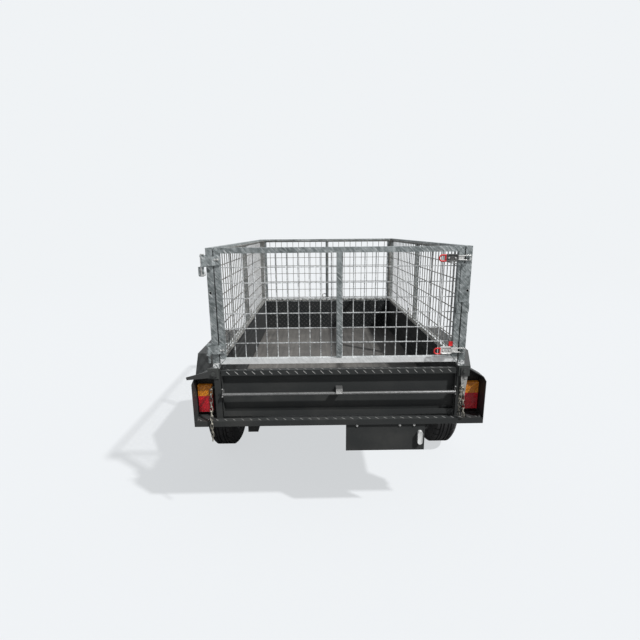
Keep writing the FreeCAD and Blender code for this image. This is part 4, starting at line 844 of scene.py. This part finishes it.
# %% Toggle latches
CASE_SIZE = Vector((58, 17, 34)) * MM
CASE_LIFT = 9 * MM
RIVET_RADIUS = 4 * MM
FOOT_SIZE = Vector((70, 5, 20.4)) * MM
FOOT_REACH = 54 * MM
RING_RADIUS = 10.4 * MM
RING_BAR = 2.5 * MM
RING_INSET = 13 * MM
RING_LIFT = 14.5 * MM
ARM_REACH = 44 * MM
ARM_HALF_GAP = 8 * MM
RIVET_REACHES = (14 * MM, 44 * MM)
GRIP_RADIUS = 13.5 * MM
GRIP_BAR = 3.4 * MM
GRIP_LEG = 17 * MM
GRIP_LIFT = 3.6 * MM
CROSSBAR_HALF = 13 * MM
CROSSBAR_RADIUS = 3.2 * MM


def bent_loop(radius, bar, leg):
    """A U of round bar in the XZ plane, open towards +X, its bend at the origin's left."""
    loop = ring(radius, bar, 32, 10)
    edit_all(loop)
    bpy.ops.mesh.bisect(plane_co=(0, 0, 0), plane_no=(1, 0, 0), clear_outer=True)
    bpy.ops.mesh.select_all(action="DESELECT")
    bpy.ops.mesh.select_mode(type="EDGE")
    bpy.ops.mesh.select_non_manifold()
    bpy.ops.mesh.extrude_region_move(TRANSFORM_OT_translate={"value": (leg, 0, 0)})
    bpy.ops.mesh.select_all(action="SELECT")
    bpy.ops.mesh.fill_holes(sides=0)
    leave_edit()
    return outward(loop)


def dress_latches():
    body_low, body_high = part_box("gate_latch_bodies")
    grip_low, grip_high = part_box("gate_latch_handles")
    case_y = body_low.y + CASE_LIFT
    hook_x, hook_y = body_high.x - RING_INSET, body_high.y - RING_LIFT
    cases, bodies, grips = [], [], []
    half = CASE_SIZE / 2
    for z, shells in ((body_low.z + half.z, bodies), (body_high.z - half.z, cases)):
        shells.append(rounded_block(CASE_SIZE, 12 * MM, 4 * MM, (grip_high.x + half.x, case_y, z)))
        foot_place = (grip_high.x + FOOT_REACH, body_high.y - FOOT_SIZE.y / 2, z)
        bodies.append(rounded_block(FOOT_SIZE, 4 * MM, 2 * MM, foot_place))
        hook = bent_loop(RING_RADIUS, RING_BAR, 0.1 * MM)
        hook.rotation_euler.y = math.pi
        hook.location = (hook_x, hook_y, z)
        bodies.append(apply_place(hook))
        for side, reach in zip((-1, 1), RIVET_REACHES):
            arm_start = (hook_x, hook_y, z + side * RING_RADIUS)
            arm_end = (grip_high.x + ARM_REACH, hook_y, z + side * ARM_HALF_GAP)
            bodies.append(pin(arm_start, arm_end, RING_BAR))
            rivet_x = grip_high.x + reach
            bodies.append(pin((rivet_x, case_y, z), (rivet_x, body_low.y + 0.2 * MM, z), RIVET_RADIUS))
        grip = bent_loop(GRIP_RADIUS, GRIP_BAR, GRIP_LEG)
        grip_y = grip_low.y + GRIP_LIFT
        grip.location = (grip_low.x + GRIP_LEG, grip_y, z)
        grips.append(apply_place(grip))
        bar_x = grip_high.x - GRIP_BAR
        bar_ends = [(bar_x, grip_y, z + side * CROSSBAR_HALF) for side in (-1, 1)]
        grips.append(pin(*bar_ends, CROSSBAR_RADIUS))
    settle(cases, "latch_cases", "gate", dull_plating, 40)
    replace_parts(settle(bodies, "latch_toggles", "gate", plated, 40), "gate_latch_bodies")
    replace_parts(settle(grips, "latch_grips", "gate", red_dip, 50), "gate_latch_handles")


dress_latches()

# %% [markdown]
# ## Small pieces
# Bolts, a plate lamp's cover, reflectors, a hinge retainer, weld beads and valve stems are too small for
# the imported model. Each kind is made once by a function, and the places come from the boxes of what carries
# them.

# %% Bolts
HOUSING_BOLT = 11 * MM
HOUSING_BOLT_INSETS = (16 * MM, 76 * MM)
HOUSING_BOLT_BACK = 12 * MM
HOUSING_SHEET = 3 * MM
STRAP_BOLT = 8 * MM
STRAP_BOLT_INSETS = (7 * MM, 20 * MM)
STRAP_HALF = 15 * MM
STRAP_SHEET = 6 * MM
BRACKET_BOLT = 9 * MM
BRACKET_DROP = 9 * MM
BRACKET_SHARES = (0.14, 0.68, 0.86)
ROD_PIN_RADIUS = 3 * MM
ROD_PIN_LENGTH = 5 * MM
ROD_PIN_DEPTH = 6 * MM
CAP_SIZE = Vector((31, 3, 25)) * MM
CAP_DROP = 13 * MM

housing_low, housing_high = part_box("lamp_housings")
strap_low, strap_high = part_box("gate_straps")
bracket_low, bracket_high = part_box("plate_bracket")
gate_low, gate_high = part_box("gate_frame")


def bolt(place, way, across):
    """A hexagon head with softened edges on a washer. Way is where the head faces."""
    deselect()
    bpy.ops.mesh.primitive_cylinder_add(vertices=6, radius=across / 2, depth=across * 0.45)
    head = bpy.context.object
    edit_all(head)
    bpy.ops.mesh.bevel(offset=across * 0.06, segments=2)
    leave_edit()
    head.location.z = across * 0.33
    apply_place(head)
    washer = pin((0, 0, 0), (0, 0, across * 0.12), across * 0.72, 20)
    piece = joined([head, washer], "bolt")
    piece.rotation_euler = way.to_track_quat("Z", "Y").to_euler()
    piece.location = place
    return apply_place(piece)


def bolt_row(name, body, material, places, way, across):
    """Bolts of one size that all face one way, as one piece."""
    settle([bolt(place, way, across) for place in places], name, body, material, 30)


def housing_bolts():
    """Bolts that hold the lamp housings to the bumper's ledge."""
    y, z = housing_low.y + HOUSING_BOLT_BACK, housing_low.z + HOUSING_SHEET
    reaches = [housing_high.x - inset for inset in HOUSING_BOLT_INSETS]
    places = [(side * reach, y, z) for side in (-1, 1) for reach in reaches]
    bolt_row("housing_bolts", "trailer", dull_plating, places, Z_AXIS, HOUSING_BOLT)


def strap_bolts():
    """Two bolts through each hinge strap into the gate's stile."""
    y = strap_high.y - STRAP_SHEET
    levels = (strap_low.z + STRAP_HALF, strap_high.z - STRAP_HALF)
    places = [(strap_high.x - inset, y, z) for z in levels for inset in STRAP_BOLT_INSETS]
    bolt_row("strap_bolts", "gate", plated, places, REARWARDS, STRAP_BOLT)


def rod_pins():
    """Spring pins at the rod's ends and a bright cap on its middle catch."""
    low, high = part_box("tailgate_rod")
    pieces = []
    for side in (-1, 1):
        for x, z in ((high.x - 3 * MM, high.z + 3 * MM), (high.x - 1 * MM, low.z + 6 * MM)):
            start = Vector((side * x, low.y + ROD_PIN_DEPTH, z))
            pieces.append(pin(start, start + REARWARDS * ROD_PIN_LENGTH, ROD_PIN_RADIUS))
    cap_place = (0, low.y, high.z - CAP_DROP)
    pieces.append(rounded_block(CAP_SIZE, 3 * MM, 1.5 * MM, cap_place))
    settle(pieces, "rod_pins", "tailgate", plated, 40)


def bracket_bolts():
    """Bolts that hold the number plate's bracket under the bumper."""
    width = bracket_high.x - bracket_low.x
    y, z = bracket_low.y, bracket_high.z - BRACKET_DROP
    places = [(bracket_low.x + width * share, y, z) for share in BRACKET_SHARES]
    bolt_row("bracket_bolts", "trailer", plated, places, REARWARDS, BRACKET_BOLT)


housing_bolts()
strap_bolts()
rod_pins()
bracket_bolts()

# %% [markdown]
# The number plate's lamp is an oval moulding with a clear cover, and each red lens has a square reflex
# reflector in its upper outer corner. A thin strut runs from the plate's upper corner to the bumper.

# %% Plate lamp, reflectors and strut
REFLEX_SIZE = Vector((13, 3, 13)) * MM
REFLEX_INSET = 9 * MM
REFLEX_SUNK = 1.1 * MM
REFLEX_DROP = 10 * MM
STRUT_FOOT = Vector((-4, 3.6, -37)) * MM
STRUT_REACH = Vector((30.4, 0, 38.5)) * MM
STRUT_RADIUS = 2.5 * MM


def plate_lamp():
    low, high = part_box("plate_lamp")
    cover = rounded_block(high - low, (high.x - low.x) * 0.48, 2 * MM, (low + high) / 2)
    settle([cover], "plate_lamp_cover", "trailer", frosted, 40)
    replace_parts(cover, "plate_lamp")


def reflectors():
    low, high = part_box("lamp_lenses_red")
    squares = []
    for side in (-1, 1):
        place = (side * (high.x - REFLEX_INSET), low.y + REFLEX_SUNK, high.z - REFLEX_DROP)
        squares.append(rounded_block(REFLEX_SIZE, 2 * MM, 1.2 * MM, place))
    settle(squares, "reflex_squares", "trailer", reflex_red, 40)


def plate_strut():
    foot = Vector((bracket_high.x, bracket_low.y, bracket_high.z)) + STRUT_FOOT
    strut = pin(foot, foot + STRUT_REACH, STRUT_RADIUS)
    settle([strut], "plate_strut", "trailer", frame_paint, 50)


plate_lamp()
reflectors()

# %% [markdown]
# The upper hinge pin is bent over and down beside the post, and its end is hooked back in. The posts have a
# drilled hole each on the rear face. A near-black disc is painted shade for its inside, and a bright ring is
# a painted highlight for its lit edge. A riveted strip on the gate's right stile covers the gap to the post,
# and eye bolts stand on the cage's bottom rails.

# %% Hinge hook, drilled holes and cage fittings
HOOK_BAR = 2.4 * MM
HOOK_LEFT = 3 * MM
HOOK_RIGHT = 20 * MM
HOOK_RISE = 10 * MM
HOOK_DROP = 82 * MM
HOOK_END = 16 * MM
HOLE_HEIGHT = 1213 * MM
HOLE_RADIUS = 6 * MM
HOLE_INSET = 11 * MM
STOP_HEIGHT = 1130 * MM
STOP_SIZE = Vector((21.6, 3, 46)) * MM
STOP_INSET = 10.4 * MM
STRIP_SIZE = Vector((21.6, 2, 180)) * MM
STRIP_INSET = 1 * MM
STRIP_RISE = 118.5 * MM
STRIP_RIVET_INSET = 7 * MM
STRIP_RIVET_RISES = (36 * MM, 118 * MM, 200 * MM)
TAB_HEIGHT = 958 * MM
TAB_SIZE = Vector((20, 6, 22)) * MM
TAB_INSET = 34 * MM
TUBE = 25 * MM
EYE_RADIUS = 17 * MM
EYE_BAR = 4 * MM
EYE_LIFT = 29 * MM
SIDE_EYES_BACK = 366 * MM
FRONT_EYE_LEFT = 26 * MM


def hinge_hook():
    """The bent end of the pin: a bar between the corners of a narrow C, with a ball at each bend."""
    y = strap_low.y + 3 * MM
    left, right = strap_low.x + HOOK_LEFT, strap_low.x + HOOK_RIGHT
    high, low = strap_high.z + HOOK_RISE, strap_high.z - HOOK_DROP
    corners = [(right, high), (left, high), (left, low), (right, low), (right, low + HOOK_END)]
    pieces = []
    for (x0, z0), (x1, z1) in zip(corners, corners[1:]):
        pieces.append(pin((x0, y, z0), (x1, y, z1), HOOK_BAR))
    for x, z in corners[1:-1]:
        deselect()
        bpy.ops.mesh.primitive_uv_sphere_add(segments=16, ring_count=10, radius=HOOK_BAR, location=(x, y, z))
        pieces.append(apply_place(bpy.context.object))
    settle(pieces, "hinge_hook", "trailer", plated, 50)


def drilled_holes():
    post_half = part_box("corner_posts")[1].x
    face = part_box("cage_frames")[0].y
    discs, lit_edges = [], []
    for side in (-1, 1):
        middle = Vector((side * (post_half - HOLE_INSET), face, HOLE_HEIGHT))
        # Painted shade: a near-black disc where the hole is.
        discs.append(pin(middle - REARWARDS * 0.5 * MM, middle + REARWARDS * 0.25 * MM, HOLE_RADIUS, 24))
        # Painted highlight: a bright ring round the hole's edge.
        rim = ring(HOLE_RADIUS + 0.4 * MM, 0.5 * MM, 28, 8)
        rim.location = middle
        lit_edges.append(apply_place(rim))
    settle(discs, "drilled_holes", "trailer", hole_shade, 40)
    settle(lit_edges, "hole_edge_highlights", "trailer", plated, 60)


def stop_plate():
    """A plate and a riveted strip that covers the gap between the gate's right stile and the post."""
    right, face = gate_high.x, gate_low.y
    plate_place = (right - STOP_INSET, face - 1.5 * MM, STOP_HEIGHT)
    strip_place = (right - STRIP_INSET, face - 1.4 * MM, STOP_HEIGHT + STRIP_RISE)
    pieces = [
        rounded_block(STOP_SIZE, 1 * MM, 0.6 * MM, plate_place),
        rounded_block(STRIP_SIZE, 1 * MM, 0.4 * MM, strip_place),
    ]
    for rise in STRIP_RIVET_RISES:
        inner = Vector((right - STRIP_RIVET_INSET, face + 2 * MM, STOP_HEIGHT + rise))
        pieces.append(pin(inner, inner + REARWARDS * 5.2 * MM, 2.5 * MM))
    settle(pieces, "stop_plate", "gate", gate_zinc, 40)


def latch_tab():
    """The red dipped tab above the lower latch."""
    place = (gate_high.x - TAB_INSET, gate_low.y + 4 * MM, TAB_HEIGHT)
    tab = rounded_block(TAB_SIZE, 4 * MM, 1 * MM, place)
    settle([tab], "latch_tab", "gate", red_dip, 40)


def cage_fixings():
    """Eye bolts on the cage's bottom rails: one in front and one on each side."""
    low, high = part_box("cage_frames")
    rail_top = low.z + TUBE
    spots = [
        (Vector((-FRONT_EYE_LEFT, high.y - TUBE / 2, rail_top)), 0),
        (Vector((low.x + TUBE / 2, -SIDE_EYES_BACK, rail_top)), math.pi / 2),
        (Vector((high.x - TUBE / 2, -SIDE_EYES_BACK, rail_top)), math.pi / 2),
    ]
    pieces = []
    for spot, turn in spots:
        eye = ring(EYE_RADIUS, EYE_BAR, 32, 10)
        eye.rotation_euler.z = turn
        eye.location = spot + Z_AXIS * EYE_LIFT
        pieces.append(apply_place(eye))
        pieces.append(pin(spot - Z_AXIS * 1 * MM, spot + Z_AXIS * 12 * MM, 5 * MM))
        pieces.append(bolt(spot - Z_AXIS * 0.5 * MM, Z_AXIS, 15 * MM))
    settle(pieces, "cage_fixings", "trailer", plated, 50)


hinge_hook()
drilled_holes()
plate_strut()
stop_plate()
latch_tab()
cage_fixings()

# %% [markdown]
# Where two tubes meet, a welder leaves a bead. Each bead is a thin rod that is sunk by half into the joint,
# with rings of its faces scaled in turn so that it looks like a row of small drops.

# %% Weld beads
BEAD_RADIUS = 1.5 * MM
BEAD_PITCH = 2.4 * MM
WAIST_SHARE = 0.72


def bead(start, end):
    """A bead of small drops from one place to another."""
    drops = max(4, int((end - start).length / BEAD_PITCH))
    half_drop = (end - start).length / drops / 2
    deselect()
    bpy.ops.mesh.primitive_circle_add(vertices=10, radius=BEAD_RADIUS, fill_type="NGON")
    piece = bpy.context.object
    edit_all(piece)
    for _ in range(drops):
        for share in (WAIST_SHARE, 1 / WAIST_SHARE):
            bpy.ops.mesh.extrude_region_move(TRANSFORM_OT_translate={"value": (0, 0, half_drop)})
            bpy.ops.transform.resize(value=(share, share, 1))
    leave_edit()
    piece.rotation_euler = (end - start).to_track_quat("Z", "Y").to_euler()
    piece.location = start
    apply_place(piece)
    return outward(piece)


def gate_welds():
    """A bead along the mitre of each of the gate's corners."""
    beads = []
    for x, inwards in ((gate_low.x, 1), (gate_high.x, -1)):
        for z, upwards in ((gate_low.z, 1), (gate_high.z, -1)):
            corner = Vector((x, gate_low.y, z))
            mitre = Vector((inwards, 0, upwards))
            beads.append(bead(corner + mitre * 2 * MM, corner + mitre * (TUBE - 1 * MM)))
    settle(beads, "gate_welds", "gate", zinc, 60)


gate_welds()

# %% [markdown]
# A capped rubber valve stem sticks out of each rim.

# %% Valve stems
VALVE_INSET = 46 * MM
VALVE_DROP = 44 * MM
VALVE_STEM_RADIUS = 3.4 * MM
VALVE_CAP_RADIUS = 4.2 * MM


def valve(side_name, sign):
    low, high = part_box("rim_" + side_name)
    outer = high.x if sign > 0 else low.x
    base = Vector((outer - sign * VALVE_INSET, (low.y + high.y) / 2, high.z - VALVE_DROP))

    def ahead(reach, rise):
        return base + Vector((sign * reach, 0, rise)) * MM

    stem = pin(base, ahead(24, 4), VALVE_STEM_RADIUS)
    cap = pin(ahead(22, 3.6), ahead(34, 5.6), VALVE_CAP_RADIUS, 12)
    settle([stem, cap], "valve_" + side_name, side_name + "_wheel", black_plastic, 40)


valve("right", 1)
valve("left", -1)

# %% [markdown]
# ## Floor, light and camera
# One small hard lamp shines from the upper right behind the camera, and a weak sky fills the shadows. The
# pale background is only seen by the camera and by reflections. The floor fades into it with distance, and
# it throws less light back than it seems to, so the dark sides stay dark.

# %% Floor and background
BACKDROP = (0.87, 0.895, 0.915)
FLOOR_SIZE = 60
FLOOR_SEEN = (0.64, 0.655, 0.67)
FLOOR_BOUNCE = (0.20, 0.20, 0.20)
FADE_NEAR = 0.70
FADE_FROM = 2.5
FADE_TO = 14.0
SKY_TINT = (0.93, 0.95, 1.0)
SKY_STRENGTH = 0.25


def pale_floor():
    deselect()
    bpy.ops.mesh.primitive_plane_add(size=FLOOR_SIZE)
    ground = bpy.context.object
    ground.name = "studio_floor"
    f = Finish("studio_floor")
    seen = f.node("ShaderNodeLightPath", output="Is Camera Ray")
    f.set(Base_Color=f.mix(seen, FLOOR_BOUNCE, FLOOR_SEEN), Roughness=0.9)
    away = f.node("ShaderNodeVectorMath", {"operation": "LENGTH"}, {0: f.place}, output=1)
    fade = FADE_NEAR + (1 - FADE_NEAR) * away.smooth(FADE_FROM, FADE_TO)
    glow = f.node("ShaderNodeEmission", {}, {"Color": rgba(BACKDROP)})
    lit = Wire(f, f.shader.outputs[0])
    surface = f.node("ShaderNodeMixShader", {}, {0: seen * fade, 1: lit, 2: glow})
    f.feed(f.tree.nodes["Material Output"].inputs["Surface"], surface)
    ground.data.materials.append(f.material)


def pale_world():
    """A weak sky that lights the trailer, behind a backdrop for the camera and the reflections."""
    world = bpy.data.worlds.new("studio")
    bpy.context.scene.world = world
    world.use_nodes = True
    nodes, links = world.node_tree.nodes, world.node_tree.links
    sky = nodes["Background"]
    sky.inputs["Color"].default_value = rgba(SKY_TINT)
    sky.inputs["Strength"].default_value = SKY_STRENGTH
    backdrop = nodes.new("ShaderNodeBackground")
    backdrop.inputs["Color"].default_value = rgba(BACKDROP)
    rays = nodes.new("ShaderNodeLightPath")
    either = nodes.new("ShaderNodeMath")
    either.operation = "MAXIMUM"
    chooser = nodes.new("ShaderNodeMixShader")
    links.new(rays.outputs["Is Camera Ray"], either.inputs[0])
    links.new(rays.outputs["Is Glossy Ray"], either.inputs[1])
    links.new(either.outputs[0], chooser.inputs[0])
    links.new(sky.outputs[0], chooser.inputs[1])
    links.new(backdrop.outputs[0], chooser.inputs[2])
    links.new(chooser.outputs[0], nodes["World Output"].inputs["Surface"])


pale_floor()
pale_world()

# %% Lamp
SUN_WAY = Vector((-1.4, 1.0, -2.1))
SUN_STRENGTH = 4.6
SUN_ANGLE = math.radians(2.5)
SUN_STEPS_BACK = 3


def key_lamp():
    lamp = bpy.data.lights.new("key_lamp", "SUN")
    lamp.energy = SUN_STRENGTH
    lamp.angle = SUN_ANGLE
    holder = bpy.data.objects.new("key_lamp", lamp)
    bpy.context.scene.collection.objects.link(holder)
    holder.rotation_euler = SUN_WAY.to_track_quat("-Z", "Y").to_euler()
    holder.location = -SUN_WAY * SUN_STEPS_BACK


key_lamp()

# %% [markdown]
# The camera stands a little left of the middle, behind the tailgate and above the cage, and looks slightly
# down. Its place and angles were fitted to the corners of the cage and the tub.

# %% Camera
PHOTO_SIDE = 640
FOCAL_PIXELS = 392.8
SENSOR = 36.0
BACK = 1.7823
LEFT = -0.1116
EYE_HEIGHT = 1.484
YAW = math.radians(0.693)
PITCH_DOWN = math.radians(12.74)
ROLL = math.radians(-0.459)


def camera():
    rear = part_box("corner_posts")[0].y
    level = math.cos(PITCH_DOWN)
    ahead = Vector((math.sin(YAW) * level, math.cos(YAW) * level, -math.sin(PITCH_DOWN)))
    right = Vector((math.cos(YAW), -math.sin(YAW), 0))
    up = right.cross(ahead)
    turned_right = math.cos(ROLL) * right + math.sin(ROLL) * up
    turned_up = math.cos(ROLL) * up - math.sin(ROLL) * right
    data = bpy.data.cameras.new("camera")
    data.sensor_width = SENSOR
    data.lens = SENSOR * FOCAL_PIXELS / PHOTO_SIDE
    holder = bpy.data.objects.new("camera", data)
    bpy.context.scene.collection.objects.link(holder)
    matrix = Matrix((turned_right, turned_up, -ahead)).transposed().to_4x4()
    matrix.translation = Vector((LEFT, rear - BACK, EYE_HEIGHT))
    holder.matrix_world = matrix
    bpy.context.scene.camera = holder


camera()
bpy.context.scene.view_settings.view_transform = "Standard"

# %% Finish
deselect()
